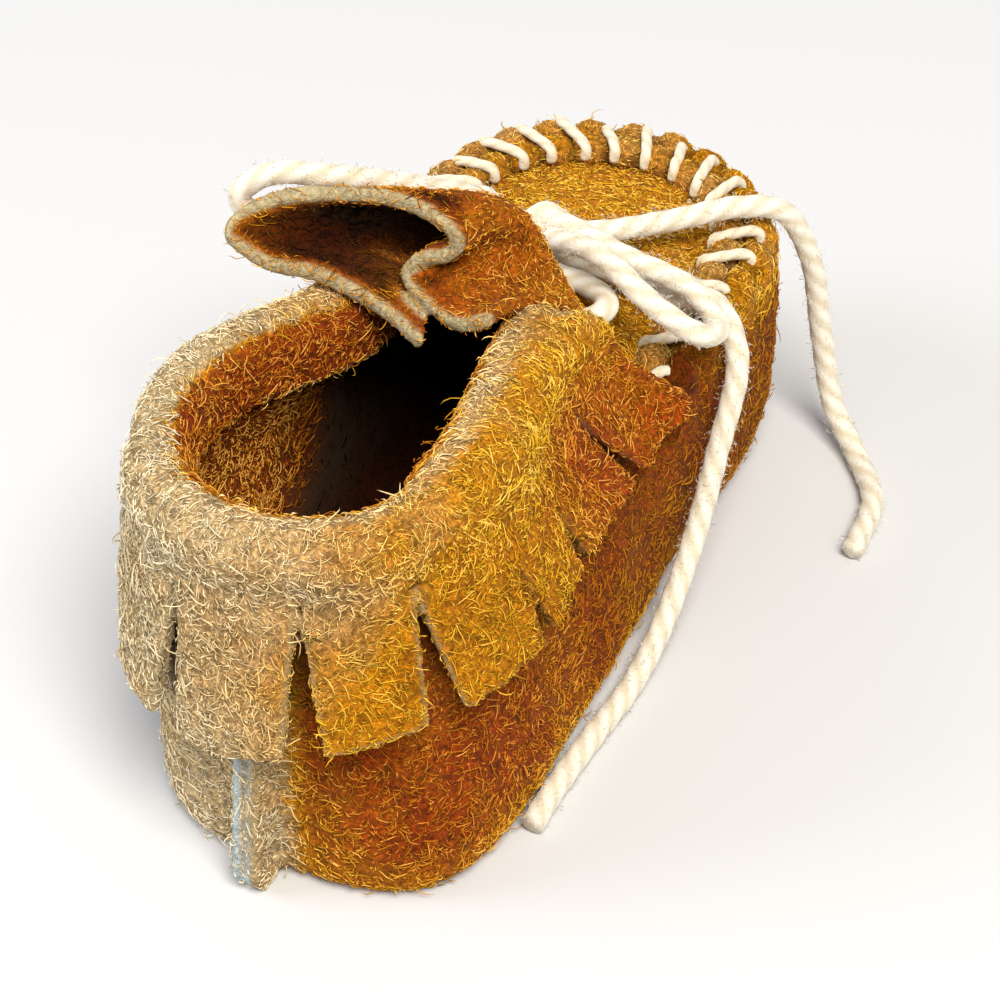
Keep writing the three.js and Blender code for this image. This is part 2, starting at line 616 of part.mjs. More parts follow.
function runRoute() {
  const route = [{ x: KNOT.x + 3.4, y: KNOT.y - 2.6, z: KNOT.z - 2.0 },
    { x: 7.8, y: 14.7, z: 39.3 }, { x: 12.95, y: 9.9, z: 41.0 }, { x: 12.05, y: 4.6, z: 41.6 }];
  for (let i = CASING.steps; i >= -CASING.steps; i -= 1) {
    const [x, y, z] = rollPoint((i / CASING.steps) * CASING.end, CASING);
    route.push({ x, y, z });
  }
  route.push({ x: -14.0, y: 9.0, z: 41.6 }, { x: KNOT.x - 3.6, y: KNOT.y - 2.6, z: KNOT.z - 1.8 });
  return route;
}

function knotPiece() {
  const ball = new THREE.SphereGeometry(KNOT.r, 10, 6);
  ball.scale(1.0, 0.85, 0.85);
  ball.translate(KNOT.x, KNOT.y, KNOT.z);
  return geometryFrom(solidOf(ball));
}

const bootie = new THREE.Group();
bootie.name = 'moccasin_bootie';
const leather = [
  meshOf('moccasin_bottom', bottomPiece(), COLOURS.suede, 0.95),
  meshOf('vamp', vampPiece(), COLOURS.suede, 0.95),
  meshOf('tongue', tonguePiece(), COLOURS.inner, 0.95),
  meshOf('cuff', cuffPiece(), COLOURS.suede, 0.95),
];
const cords = [
  meshOf('lace_run', cordOf(runRoute(), 51), COLOURS.lace, 0.9),
  meshOf('lace_knot', knotPiece(), COLOURS.lace, 0.9),
  meshOf('lace_loop_right', cordOf(LOOP_RIGHT, 16), COLOURS.lace, 0.9),
  meshOf('lace_loop_left', cordOf(LOOP_LEFT, 16), COLOURS.lace, 0.9),
  meshOf('lace_end_front', cordOf(END_FRONT, 20), COLOURS.lace, 0.9),
  meshOf('lace_end_side', cordOf(END_SIDE, 20), COLOURS.lace, 0.9),
];

// The origin is under the middle of the leather pieces
const box = new THREE.Box3();
leather.forEach((mesh) => box.expandByObject(mesh));
const centre = box.getCenter(new THREE.Vector3());
for (const mesh of [...leather, ...cords]) {
  mesh.geometry.translate(-centre.x, -centre.y, 0);
  bootie.add(mesh);
}

export default bootie;
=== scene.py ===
"""Moccasin bootie of napped split suede: a puckered bottom piece, a whip-stitched vamp,
a curling tongue, a folded cuff cut into tabs and a cotton lace that runs through its fold."""
import math

import bmesh
import bpy
import numpy as np
from bpy.props import FloatProperty, FloatVectorProperty, IntProperty, PointerProperty
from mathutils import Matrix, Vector, noise
from mathutils.bvhtree import BVHTree


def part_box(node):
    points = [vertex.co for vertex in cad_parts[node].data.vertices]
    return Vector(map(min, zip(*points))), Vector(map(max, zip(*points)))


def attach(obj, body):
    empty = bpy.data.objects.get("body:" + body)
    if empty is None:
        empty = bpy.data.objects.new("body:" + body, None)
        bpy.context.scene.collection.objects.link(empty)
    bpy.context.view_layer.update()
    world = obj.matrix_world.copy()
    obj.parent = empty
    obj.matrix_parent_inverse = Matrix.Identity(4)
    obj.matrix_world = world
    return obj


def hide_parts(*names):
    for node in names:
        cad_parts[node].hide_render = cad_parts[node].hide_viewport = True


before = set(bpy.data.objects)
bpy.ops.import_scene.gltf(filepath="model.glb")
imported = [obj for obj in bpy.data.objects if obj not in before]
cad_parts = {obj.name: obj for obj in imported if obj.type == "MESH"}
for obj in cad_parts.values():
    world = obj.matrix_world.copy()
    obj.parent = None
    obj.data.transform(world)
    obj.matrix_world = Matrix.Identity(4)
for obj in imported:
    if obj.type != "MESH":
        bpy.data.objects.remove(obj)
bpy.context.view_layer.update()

bl_info = {
    "name": "Moccasin Bootie",
    "version": (1, 0, 0),
    "blender": (4, 5, 0),
    "location": "View3D > Sidebar > Bootie",
    "description": "Dresses the packed solids of a suede moccasin bootie",
    "category": "Object",
}

MM = 0.001

# Lace routes, in mm

KNOT_AT = (-3.5, 18.0, 41.0)
KNOT_LOW, KNOT_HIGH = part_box("lace_knot")
SHIFT = np.array([(KNOT_LOW[k] + KNOT_HIGH[k]) / 2 / MM - KNOT_AT[k] for k in range(3)])

LOOP_RIGHT = [
    (0.9, 17.2, 42.7), (10, 13.4, 45.4), (19, 10.4, 42.4), (24.4, 11.4, 39.4),
    (25, 15.4, 38), (20.2, 18.8, 39.6), (11, 18.4, 42.2), (0.4, 19.8, 44.2),
]
LOOP_LEFT = [
    (-7.8, 20, 43.7), (-13, 12.4, 48.8), (-20, 4.4, 53.2), (-26.6, 0.2, 54.2),
    (-29.8, -1.4, 51.2), (-27.4, -0.4, 47.4), (-18.6, 4.6, 46), (-8, 16.4, 43.2),
]
END_FRONT = [
    (-0.8, 21.5, 40.5), (5, 25.4, 39.2), (12, 32.6, 38.4), (18, 39, 38.1),
    (22.5, 43.5, 35.9), (25.8, 46.2, 28), (28, 46.8, 16), (31, 45.6, 5.6),
    (36, 41.6, 1.9), (41, 34, 1.7), (42, 24, 1.7),
]
END_SIDE = [
    (1, 18.8, 39.6), (8, 20, 38.2), (16, 21, 36), (22.4, 21, 36.8),
    (26.4, 19, 31.6), (26.8, 13, 21), (26.8, 5.4, 11), (26.6, -3.4, 4.4),
    (26.2, -11, 1.9), (25.4, -20, 1.7), (24.8, -30, 1.7), (24.8, -36, 1.7),
]
CASING_RUN = [
    (-0.1, 15.4, 39), (7.8, 14.7, 39.3), (12.95, 9.9, 41), (12.05, 4.6, 41.6), (11.5, 0.7, 41.7),
    (10.8, -1, 42.2), (11.9, -10, 43.3), (14.1, -19.3, 45.5), (15.7, -28.6, 47.1), (14.7, -38.7, 47.2),
    (10, -46.6, 47.2), (4.6, -50.3, 47.2), (-2.4, -51.5, 47.2), (-9.4, -50.3, 47.2), (-14.8, -46.6, 47.2),
    (-19.5, -38.7, 47.2), (-20.5, -28.6, 47.1), (-18.3, -19.3, 45.5), (-15.3, -10, 43.3), (-13.8, -1, 42.2),
    (-14.4, 0.7, 41.7), (-14, 9, 41.6), (-7.1, 15.4, 39.2),
]

# Leather, in mm

# Soft creases: a line on the shoe, how wide and how deep, and the way the leather is pushed.
BOTTOM_CREASES = [
    # the heel panels fall in beside the closed seam
    dict(line=[(-5, -54, 6), (-5.5, -53, 18), (-6, -51, 32)], wide=3.0, deep=0.5, push=(0, 1, 0)),
    dict(line=[(4.6, -54, 8), (5, -53, 18), (5, -51, 32)], wide=3.0, deep=0.45, push=(0, 1, 0)),
    # the two edges closed at the heel part a little
    dict(line=[(-0.6, -57.4, 0), (-0.6, -58.8, 2.5), (-0.6, -58, 12), (-0.6, -56.4, 22), (-0.6, -54.4, 31)],
         wide=0.75, deep=0.7, push=(0, 1, 0)),
    # the walls sag where the foot bends
    dict(line=[(24, -4, 21), (24.4, 3, 13), (24, 8, 6)], wide=4.0, deep=0.7, push=(-1, 0, 0)),
    dict(line=[(23, -20, 9), (23.5, -14, 14), (23, -9, 21)], wide=3.4, deep=0.5, push=(-1, 0, 0)),
    dict(line=[(-24, 0, 20), (-24, 6, 12), (-23.6, 12, 6)], wide=4.0, deep=0.7, push=(1, 0, 0)),
    dict(line=[(-23, -22, 18), (-23.4, -14, 12), (-23, -8, 7)], wide=3.6, deep=0.5, push=(1, 0, 0)),
    # the sole's turned edge swells between them
    dict(line=[(23, -30, 6), (23.6, -22, 6), (24, -10, 6)], wide=3.2, deep=-0.5, push=(-1, 0, 0)),
    dict(line=[(-22.6, -34, 6), (-23, -26, 6), (-23.6, -14, 6)], wide=3.2, deep=-0.5, push=(1, 0, 0)),
    dict(line=[(12, 54, 6), (18, 49, 6), (22.6, 42, 7)], wide=3.4, deep=-0.45, push=(-0.6, -0.8, 0)),
]
CUFF_CREASES = [
    # the fold lies uneven over the lace
    dict(line=[(-20.8, -44, 50), (-22, -40, 44)], wide=2.6, deep=0.5, push=(0.7, 0.5, -0.4)),
    dict(line=[(4, -55, 49), (6, -56, 43)], wide=2.8, deep=0.45, push=(0, 0.8, -0.5)),
    dict(line=[(15.4, -42, 50), (19, -45, 43)], wide=3.0, deep=0.5, push=(-0.7, 0.6, -0.4)),
    dict(line=[(17, -20, 48), (20, -20, 41)], wide=2.8, deep=0.5, push=(-0.8, 0, -0.5)),
    dict(line=[(13, -4, 44), (18, -3, 38)], wide=2.6, deep=0.45, push=(-0.8, 0, -0.5)),
    # the fold is plump on the right of the collar, and leans in on the left
    dict(line=[(12.5, -34, 49), (11.5, -26, 48.5), (9.4, -16, 46.5), (7.4, -6, 44.5), (7, 0, 43.6)], wide=4.5,
         deep=1.8, push=(-0.95, 0, 0.3)),
    dict(line=[(-24, -44, 47), (-25, -34, 47), (-23, -20, 45)], wide=6.0, deep=1.2, push=(1, 0.2, -0.1)),
    # the tabs swell and bow
    dict(line=[(-9, -59, 34), (-8, -59.4, 26)], wide=4.0, deep=-0.5, push=(0.1, 1, 0)),
    dict(line=[(9, -58, 34), (10, -58, 26)], wide=4.0, deep=-0.45, push=(-0.2, 1, 0)),
    dict(line=[(24, -34, 36), (26, -33, 27)], wide=4.0, deep=-0.45, push=(-1, 0.1, 0)),
    dict(line=[(-24, -38, 36), (-26, -37, 26)], wide=4.0, deep=-0.45, push=(1, 0.2, 0)),
]
VAMP_CREASES = [
    dict(line=[(-12, 26, 35), (-4, 29, 37), (5, 28, 37)], wide=3.2, deep=0.5, push=(0, 0, -1)),
    dict(line=[(-9, 38, 34), (0, 40, 35), (10, 37, 34)], wide=4.5, deep=-0.5, push=(0, 0, -1)),
]
TONGUE_CREASES = [
    dict(line=[(4, 10, 45), (6, 4, 52), (4, -4, 57)], wide=2.6, deep=-0.35, push=(0.2, 0.4, -0.8)),
    dict(line=[(-10, 8, 47), (-12, 1, 54)], wide=2.8, deep=0.35, push=(0, 0.4, -0.8)),
]

# Where each tone of the hide, painted light and painted shade starts and where it is full: in mm along x, y
# or z, from a cut or from the cuff, or in the measure of to_the_right
BOTTOM_TONES = dict(
    clean_x=(0.9, 0.3), heel_y=(-51, -53), flank_y=(-47, -54.5), flank_cut=(4.2, 0.5),
    lit_x=(-4, -13), lit_y=(4, -16), lit_z=(6, 20), toe_y=(10, 45), rim_y=(12, 24), rim_z=(24, 31),
    right=(-8, 9), toe_right=(-26, 36), behind_cuff=(5.2, 2.2), behind_z=(18, 23), foot_z=(9, 2),
    dull_y=(-26, -6), left_y=(-40, -12), under_rim_z=(31.5, 30))
CUFF_TONES = dict(
    tab_z=(45, 37), tab_right=(-10, 20), roll_right=(-7, 21), crest_right=(-2, 10), ahead_y=(-30, -12),
    drawn_y=(-42, -37), drawn_cut=(0.45, 0.15), heel_tab_x=(-24, -14), left_y=(-34, -10), lit_x=(0, -10))
TONGUE_TONES = dict(hollow_x=(1, -4), hollow_edge=(0.4, 1.6), deep_z=(47, 51), deep_x=(-24, -15))

# Tone of the hide by part: 0 is grey-tan, 0.5 golden and 1 rust, and "less" and "pale" take some of it away;
# the tones are partly painted light and shade, the rust of the right and the inside partly painted shade and
# the crest's paleness a painted highlight
HIDE = dict(
    right_wall=0.94, less_toe=0.12, less_foot=0.22, toe=0.1, rim=0.3, rim_right=0.2, left_wall=0.24,
    flank_pale=0.75, inside=1.05, less_lit=0.12, vamp=0.55, vamp_edge=0.42, tongue=0.84, hollow=0.14,
    cuff=0.5, tab=0.08, tab_ahead=0.38, heel_tab=0.1, cuff_left=0.22, crest_highlight=0.5)
# Shade by part: 0 is open light and 1 is black, and "lit" and "less" take some of it away
SHADE = dict(
    behind=0.72, gather=0.55, wall=0.1, wall_ahead=0.24, inside=0.96, inside_lit=1.3, vamp_edge=0.6,
    hollow=0.82, hollow_deep=0.16, tab=0.1, less_ahead=0.14, tab_left=0.09, collar_lit=0.22, slot=0.95,
    drawn=0.7)
# How far the raw cut shows, and how far the fibres are left out where nobody sees them
RAW = dict(furred=0.25, cuff=0.5, less_drawn=0.42)
BARE = dict(inside=0.9, behind=0.65, tucked=0.97)

# Raw cut edges: the widest and shortest strip that counts, and where the mark starts and is full
BOTTOM_CUT = dict(widest_mm=3.8, least_mm=4)
CUFF_CUT = dict(widest_mm=2.2, least_mm=4)
CUT_EDGE = (0.75, 0.35)
TONGUE_EDGE_HALF = 0.9
TONGUE_CUT_EDGE = (0.55, 0.2)
# Angle in radians over which an edge is sharp, how far down the end of a tab faces, and the weld of corners
SHARP_ANGLE = 1.0
TAB_END_DOWN = -0.5
WELD = 0.002
# Slots of the cuff: how far a point lies in the open of a cut, how near to it, and how deep it is pressed in
SLOT_OPEN = (0.03, 0.16)
SLOT_NEAR = (1.0, 0.8)
SLOT_DEEP = 1.3
# Middle lines that the insides face, and the way that the hollow of the tongue's curl faces
FOOT_MIDDLE = dict(x=0.0, y=(-34, 36), z=30.0)
COLLAR_MIDDLE = dict(x=-2.4, y=(-30, 10))
HOLLOW_WAY = (0.2, -0.9, 0.35)
# How far off the cuff paints shade on the bottom piece, where its open rim begins, and how near a wall hides
# the cuff
COVER_REACH = 7.0
OPEN_RIM_Y = 9.0
TUCKED_REACH = 9.0
# Mesh size of the plain bottom and of the thin tongue, beside that of the other pieces
BOTTOM_COARSER = 1.4
TONGUE_FINER = 0.85

# Free edge of the tongue, from its turned-under left lip round the curl to the right hook
TONGUE_EDGE = [
    (-1.2, -10.8, 44.5), (-6.3, -9, 46), (-11.2, -8.6, 47.6), (-16.4, -9, 48.9), (-20.7, -11, 49.9),
    (-24.6, -11.2, 51.4), (-26.8, -10.8, 52.6), (-26, -8.2, 54.6), (-22, -5.4, 56.2), (-15.8, -3.4, 57.2),
    (-9.5, -2.3, 57.4), (-4, -2.4, 56.4), (-0.8, -2.8, 54.2), (-2, -3.4, 51.8), (-5.4, -3.8, 51),
    (-6.9, -4.8, 49), (-3.6, -6.2, 47.2), (1.6, -7.4, 46), (5, -6.6, 47.6),
]

# Rim of the toe: half width, end of the straight side and height of its stitched edge. A place on it is 3
# at the throat, 4 where the toe's curve starts and 5 at the tip.
RIM = dict(side=20.4, toe=20.9, throat_y=10.0, toe_y=33.5, z=(32.2, 33.0))
SIDE_PUCKERS, TOE_PUCKERS = 4, 6
STITCH_PLACES = ([3 + k / SIDE_PUCKERS for k in range(SIDE_PUCKERS + 1)]
                 + [4 + k / TOE_PUCKERS for k in range(1, TOE_PUCKERS + 1)])
# Vamp's turned edge: how far inside the rim and below it, its lift at a pucker, radius, sides and rings
VAMP_EDGE = dict(inside=2.9, below=1.2, lift=0.8, radius=2.15, sides=16, rings_to_pucker=6)
# Whip stitch: its middle, the angles in degrees from the way out where it starts, crosses the top and
# ends, the rays from off the leather that find it, and how its ends go down into it
STITCH_MIDDLE = dict(below=1.8, inside=0.8)
STITCH_TILT = dict(first=(62, 76), top=104, half=38, last=143, rays=8, off=9.0)
STITCH_START = dict(out=0.5, down=1.5)
STITCH_END = dict(out=-0.2, down=1.6)
STITCH_RISE = 0.18
RAY_REACH = 30.0
THREAD_TWIST = 2.3

# Yarn: size of its fibres, and the relief at the bottom of a furrow and on top of a strand
LACE_FIBRE, THREAD_FIBRE = 0.5, 0.35
LACE_RELIEF, THREAD_RELIEF = (0.93, 0.99), (0.9, 1.0)
# Knot: half sizes of its one turn, and how much thicker the strands are that are drawn into it
KNOT_TURN = (0.5, 2.0, 2.0)
KNOT_SWELL = 1.03
# How far from the knot's middle its strands start, as a share of their way
KNOT_DEPTH = 0.25
# Distance between the rings of the lace, and of the hidden lace in the cuff
LACE_STEP, CASING_STEP = 0.4, 0.45

# Nap: where the bottom's and the cuff's fibres are parted in two meshes, and the least weight of a place
NAP_PART_Y, NAP_PART_X = -6.0, -2.0
HARDLY = 1e-6
# Fibres: depth of the root, least height over the floor, share of a half wave that the arch runs through, how
# much higher a loose fibre stands, how fast it climbs, and how far the painted shade darkens a fibre
NAP_ROOT, NAP_FLOOR, NAP_ARCH = 0.1, 0.05, 0.78
SPRING_LIFT, SPRING_CLIMB = 2.6, 0.2
SHADED_HAIR = 0.34
# Floor: half its width in metres, and how far in mm it lies below the sole
FLOOR_HALF, FLOOR_BELOW = 1.6, 0.1
# Fuzz of the lace: rings in a fibre, and its length, lift, thickness and loose share
FUZZ = dict(rings=1, length=(0.6, 1.5), lift=0.28, thick=0.07, loose=0.5)


def linear(code):
    """An sRGB hex colour as linear red, green, blue and alpha."""
    parts = [int(code[i:i + 2], 16) / 255 for i in (1, 3, 5)]
    return tuple(c / 12.92 if c <= 0.04045 else ((c + 0.055) / 1.055) ** 2.4 for c in parts) + (1.0,)


def colour(code, name, description):
    """A colour setting with its default."""
    return FloatVectorProperty(name=name, description=description, subtype="COLOR", size=4,
                               min=0, max=1, default=linear(code))


def measure(mm, name, description, **limits):
    """A length setting with its default in mm."""
    return FloatProperty(name=name, description=description, unit="LENGTH", precision=5, default=mm * MM,
                         **limits)


class SuedeSettings(bpy.types.PropertyGroup):
    """Colours, mesh size and nap of the split suede."""
    # The grounds run from grey-tan over golden to rust, partly as the hide's own colour and partly as painted
    # light on the left and back and painted shade low on the right and inside; the nap and strays follow them
    pale: colour("#bba073", "Pale ground", "Suede where the hide is greyest, at the back and left")
    golden: colour("#ba770a", "Golden ground", "Suede where the hide is most yellow")
    rust: colour("#923602", "Rust ground", "Suede where the hide is darkest, low on the right and inside")
    edge: colour("#b8a67e", "Cut edge", "Raw edge through the thickness of the hide")
    # The heel edge's blue-grey is painted cool light on its pale cut
    seam: colour("#b4c3c4", "Heel edge", "Clean cut edge closed at the heel")
    pale_nap: colour("#f8e6c0", "Pale nap", "Lightest fibres at the back and left")
    golden_nap: colour("#f9c026", "Golden nap", "Lightest fibres on the golden parts")
    rust_nap: colour("#d9801a", "Rust nap", "Lightest fibres on the darkest parts")
    pale_stray: colour("#fdedc8", "Pale strays", "Bleached fibres at the back and left")
    golden_stray: colour("#ffd665", "Golden strays", "Bleached fibres on the golden parts")
    rust_stray: colour("#efae52", "Rust strays", "Bleached fibres on the darkest parts")
    mesh_size: measure(0.54, "Mesh size", "Edge length of the leather's mesh", min=0.3 * MM)
    nap_long: measure(4.0, "Long fibre", "Length of the longest laid fibres")
    nap_thick: measure(0.17, "Fibre thickness", "Thickness of a nap fibre at its root")
    nap_share: FloatProperty(name="Nap density", description="Share of the full number of fibres",
                             subtype="FACTOR", default=1.0, min=0.02, max=1.0)


class LaceSettings(bpy.types.PropertyGroup):
    """Twisted cotton lace and its knot."""
    diameter: measure(2.9, "Diameter", "Thickness of the lace")
    strand: measure(3.6, "Strand spacing", "Distance between strands along the lace")
    sides: IntProperty(name="Sides", description="Faces round the lace", default=20, min=8)
    cotton: colour("#ebe4d4", "Cotton", "Lit yarn of the lace")
    # The furrow colour is painted shade between the yarns
    furrow: colour("#cdbc9a", "Furrow", "Colour between the yarns")


class StitchSettings(bpy.types.PropertyGroup):
    """Whip stitches round the toe."""
    thick: measure(1.4, "Thread", "Thickness of the sewing thread")
    slant: measure(1.2, "Slant", "How far a stitch leans along the seam")
    cotton: colour("#e2d8c0", "Thread", "Waxed cotton thread")


class StageSettings(bpy.types.PropertyGroup):
    """Camera, floor and studio light."""
    camera: FloatVectorProperty(name="Camera", description="Place of the camera", subtype="XYZ",
                                unit="LENGTH", default=(0.11739, -0.23885, 0.24731))
    aim: FloatVectorProperty(name="Aim", description="Point at the middle of the picture",
                             subtype="XYZ", unit="LENGTH", default=(0.0042, 0.0, 0.0150))
    lens: FloatProperty(name="Lens", description="Focal length in mm on a 36 mm sensor",
                        default=103.0, min=10)
    key: FloatProperty(name="Key light", description="Power of the large soft light in watts", default=18.0)
    fill: FloatProperty(name="Fill light", description="Power of the cool side light in watts", default=6.0)
    sky: FloatProperty(name="Surround", description="Strength of the even white surround", default=0.45)
    ground: colour("#cececf", "Floor", "Plain pale floor")


# Small tools that several pieces share

def placed(points):
    """Route or crease points in mm as metres in the shoe's frame."""
    return (np.array(points, float) + SHIFT) * MM


def add_node(tree, kind, links=None, **settings):
    """One shader node with its settings, input values and incoming links."""
    node = tree.nodes.new(kind)
    for key, value in settings.items():
        if hasattr(node, key):
            setattr(node, key, value)
        else:
            node.inputs[key.replace("_", " ")].default_value = value
    for key, source in (links or {}).items():
        tree.links.new(source, node.inputs[key])
    return node


def show(name, mesh, material, slot, *nodes):
    """A finished piece that rides on the shoe and stands for CAD nodes."""
    piece = bpy.data.objects.new(name, mesh)
    bpy.context.scene.collection.objects.link(piece)
    mesh.materials.clear()
    mesh.materials.append(material)
    mesh.shade_smooth()
    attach(piece, "root")
    if nodes:
        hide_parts(*nodes)
    return piece


def finished(bm, name):
    """A mesh made from a bmesh that is done."""
    mesh = bpy.data.meshes.new(name)
    bm.to_mesh(mesh)
    bm.free()
    return mesh


def unit(rows):
    """Each row at length one."""
    return rows / np.maximum(np.linalg.norm(rows, axis=-1, keepdims=True), 1e-12)


def ease(low, high, values):
    """0 at low and 1 at high, with a soft start and end. High may be the lesser of the two."""
    t = np.clip((values - low) / (high - low), 0, 1)
    return t * t * (3 - 2 * t)


def zones(tones, co):
    """A function that gives a tone's share at each point, by the axes along which its limits are set."""
    def zone(name):
        share = np.ones(len(co))
        for axis, values in zip("xyz", co.T / MM):
            if name + "_" + axis in tones:
                share *= ease(*tones[name + "_" + axis], values)
        return share
    return zone


def store(mesh, name, values):
    """A number for each point that a material reads."""
    attribute = mesh.attributes.get(name) or mesh.attributes.new(name, "FLOAT", "POINT")
    attribute.data.foreach_set("value", np.asarray(values, np.float32))


def marks(mesh, name):
    """The numbers stored for each point."""
    values = np.empty(len(mesh.vertices), np.float32)
    mesh.attributes[name].data.foreach_get("value", values)
    return values


def move_to(mesh, co):
    """Sets the places of a mesh's points."""
    mesh.vertices.foreach_set("co", co.astype(np.float32).ravel())
    mesh.update()


def points_of(mesh):
    """Places and normals of a mesh's points."""
    co = np.empty(len(mesh.vertices) * 3, np.float32)
    normals = np.empty(len(mesh.vertices) * 3, np.float32)
    mesh.vertices.foreach_get("co", co)
    mesh.vertex_normals.foreach_get("vector", normals)
    return co.reshape(-1, 3).astype(float), normals.reshape(-1, 3).astype(float)


def triangles_of(mesh):
    mesh.calc_loop_triangles()
    corners = np.empty(len(mesh.loop_triangles) * 3, np.int32)
    mesh.loop_triangles.foreach_get("vertices", corners)
    return corners.reshape(-1, 3)


def facing(co, normals, middle):
    """How far each point faces a middle of its own, from -1 to 1."""
    return np.einsum("ij,ij->i", unit(middle - co), normals)


def tree_of(mesh):
    co, _ = points_of(mesh)
    return BVHTree.FromPolygons(co.tolist(), triangles_of(mesh).tolist())


def wander(points, size_mm, seed):
    """Smooth noise in -1..1 at each point, for features of that size."""
    step = 1.0 / (size_mm * MM)
    away = Vector((seed * 3.17, seed * 1.93, seed * 2.71))
    return np.array([noise.noise(Vector(p) * step + away) for p in points])


def hide_tone(co, base):
    """Tone of the hide in 0..1, from grey-tan over golden to rust, clouded as a hide is."""
    return np.clip(base + 0.13 * wander(co, 11, 4) + 0.09 * wander(co, 3.5, 5), 0, 1)


def to_the_right(co, start, end):
    """0 on the shoe's grey-tan left and back, 1 on its warm right side: partly the hide's own colour,
    partly painted light on the left and painted shade on the right.
    """
    return ease(start, end, co[:, 0] / MM + 0.12 * (co[:, 1] / MM + 48))


def smooth_route(points, step_mm):
    """Points close together along the centripetal curve through a route, in mm."""
    p = np.array(points, float)
    p = np.vstack([2 * p[0] - p[1], p, 2 * p[-1] - p[-2]])
    fine = []
    for i in range(1, len(p) - 2):
        knots = [0.0]
        for a, b in zip(p[i - 1:i + 2], p[i:i + 3]):
            knots.append(knots[-1] + max(1e-6, np.linalg.norm(b - a)) ** 0.5)
        t0, t1, t2, t3 = knots
        for t in np.linspace(t1, t2, 40, endpoint=False):
            a1 = (t1 - t) / (t1 - t0) * p[i - 1] + (t - t0) / (t1 - t0) * p[i]
            a2 = (t2 - t) / (t2 - t1) * p[i] + (t - t1) / (t2 - t1) * p[i + 1]
            a3 = (t3 - t) / (t3 - t2) * p[i + 1] + (t - t2) / (t3 - t2) * p[i + 2]
            b1 = (t2 - t) / (t2 - t0) * a1 + (t - t0) / (t2 - t0) * a2
            b2 = (t3 - t) / (t3 - t1) * a2 + (t - t1) / (t3 - t1) * a3
            fine.append((t2 - t) / (t2 - t1) * b1 + (t - t1) / (t2 - t1) * b2)
    fine = np.array(fine + [p[-2]])
    along = np.concatenate([[0], np.cumsum(np.linalg.norm(np.diff(fine, axis=0), axis=1))])
    at = np.linspace(0, along[-1], max(3, round(along[-1] / step_mm) + 1))
    return np.stack([np.interp(at, along, fine[:, k]) for k in range(3)], axis=1)


def yarn_tube(bm, path, radius, sides, relief, closed=False):
    """A tube along a path, with relief(angle, length) as its share of the radius.
    Returns the new vertices with their relief."""
    rings = len(path)
    made = bmesh.ops.create_grid(bm, x_segments=sides, y_segments=rings - 1, size=0.5)["verts"]
    ahead = unit(np.gradient(path, axis=0))
    if closed:
        ahead = unit(np.roll(path[:-1], -1, axis=0) - np.roll(path[:-1], 1, axis=0))
        ahead = np.vstack([ahead, ahead[:1]])
    side = np.cross(ahead[0], (0, 0, 1) if abs(ahead[0][2]) < 0.9 else (1, 0, 0))
    frames = []
    for way in ahead:
        side = side - way * np.dot(side, way)
        side = side / np.linalg.norm(side)
        frames.append((side.copy(), np.cross(way, side)))
    along = np.concatenate([[0], np.cumsum(np.linalg.norm(np.diff(path, axis=0), axis=1))])
    heights = []
    for vert in made:
        i = round((vert.co.x + 0.5) * sides)
        j = round((vert.co.y + 0.5) * (rings - 1))
        angle = 2 * math.pi * (i % sides) / sides
        high = relief(angle, along[j])
        across, over = frames[j]
        vert.co = path[j] + radius * high * (math.cos(angle) * across + math.sin(angle) * over)
        heights.append(high)
    return made, heights


def mark_yarn(made, heights, layer, low, high):
    """Marks each vertex of a yarn from 0 in its furrows to 1 on top."""
    for vert, value in zip(made, heights):
        vert[layer] = min(1.0, max(0.0, (value - low) / (high - low)))


def close_tubes(bm):
    """Merges the tubes' long seams, fills their ends and turns the faces out."""
    bmesh.ops.remove_doubles(bm, verts=bm.verts[:], dist=1e-7)
    open_edges = [edge for edge in bm.edges if edge.is_boundary]
    if open_edges:
        bmesh.ops.holes_fill(bm, edges=open_edges, sides=0)
    bmesh.ops.recalc_face_normals(bm, faces=bm.faces[:])


def rim_at(place, side):
    """A point of the toe's stitched rim with the way along it and the way out, in mm."""
    if place <= 4:
        t = place - 3
        wide = RIM["side"] + (RIM["toe"] - RIM["side"]) * t
        at = (side * wide, RIM["throat_y"] + (RIM["toe_y"] - RIM["throat_y"]) * t)
        out = (side, 0.0)
    else:
        turn = (place - 4) * math.pi / 2
        out = (side * math.cos(turn), math.sin(turn))
        at = (RIM["toe"] * out[0], RIM["toe_y"] + RIM["toe"] * out[1])
        t = 1
    z = RIM["z"][0] + (RIM["z"][1] - RIM["z"][0]) * t
    return np.array((*at, z)), np.array((-out[1], out[0], 0.0)), np.array((*out, 0.0))


def pucker_at(place):
    """0 at a stitch, 1 in the middle of the pucker between two stitches."""
    count = (place - 3) * SIDE_PUCKERS if place < 4 else (place - 4) * TOE_PUCKERS
    return abs(math.sin(math.pi * count))


def pucker_on(co):
    """The same for points of the shoe, in metres."""
    x, y = co[:, 0] / MM - SHIFT[0], co[:, 1] / MM - SHIFT[1]
    side = (y - RIM["throat_y"]) / (RIM["toe_y"] - RIM["throat_y"]) * SIDE_PUCKERS
    front = np.arctan2(y - RIM["toe_y"], np.abs(x)) / (math.pi / 2) * TOE_PUCKERS
    return np.abs(np.sin(math.pi * np.where(y < RIM["toe_y"], side, front)))


# Materials

def new_material(name):
    """An empty node material and its tree."""
    material = bpy.data.materials.new(name)
    material.use_nodes = True
    material.node_tree.nodes.clear()
    return material, material.node_tree


def stored(tree, name):
    """A number that the mesh stores for each point."""
    return add_node(tree, "ShaderNodeAttribute", attribute_name=name).outputs["Fac"]


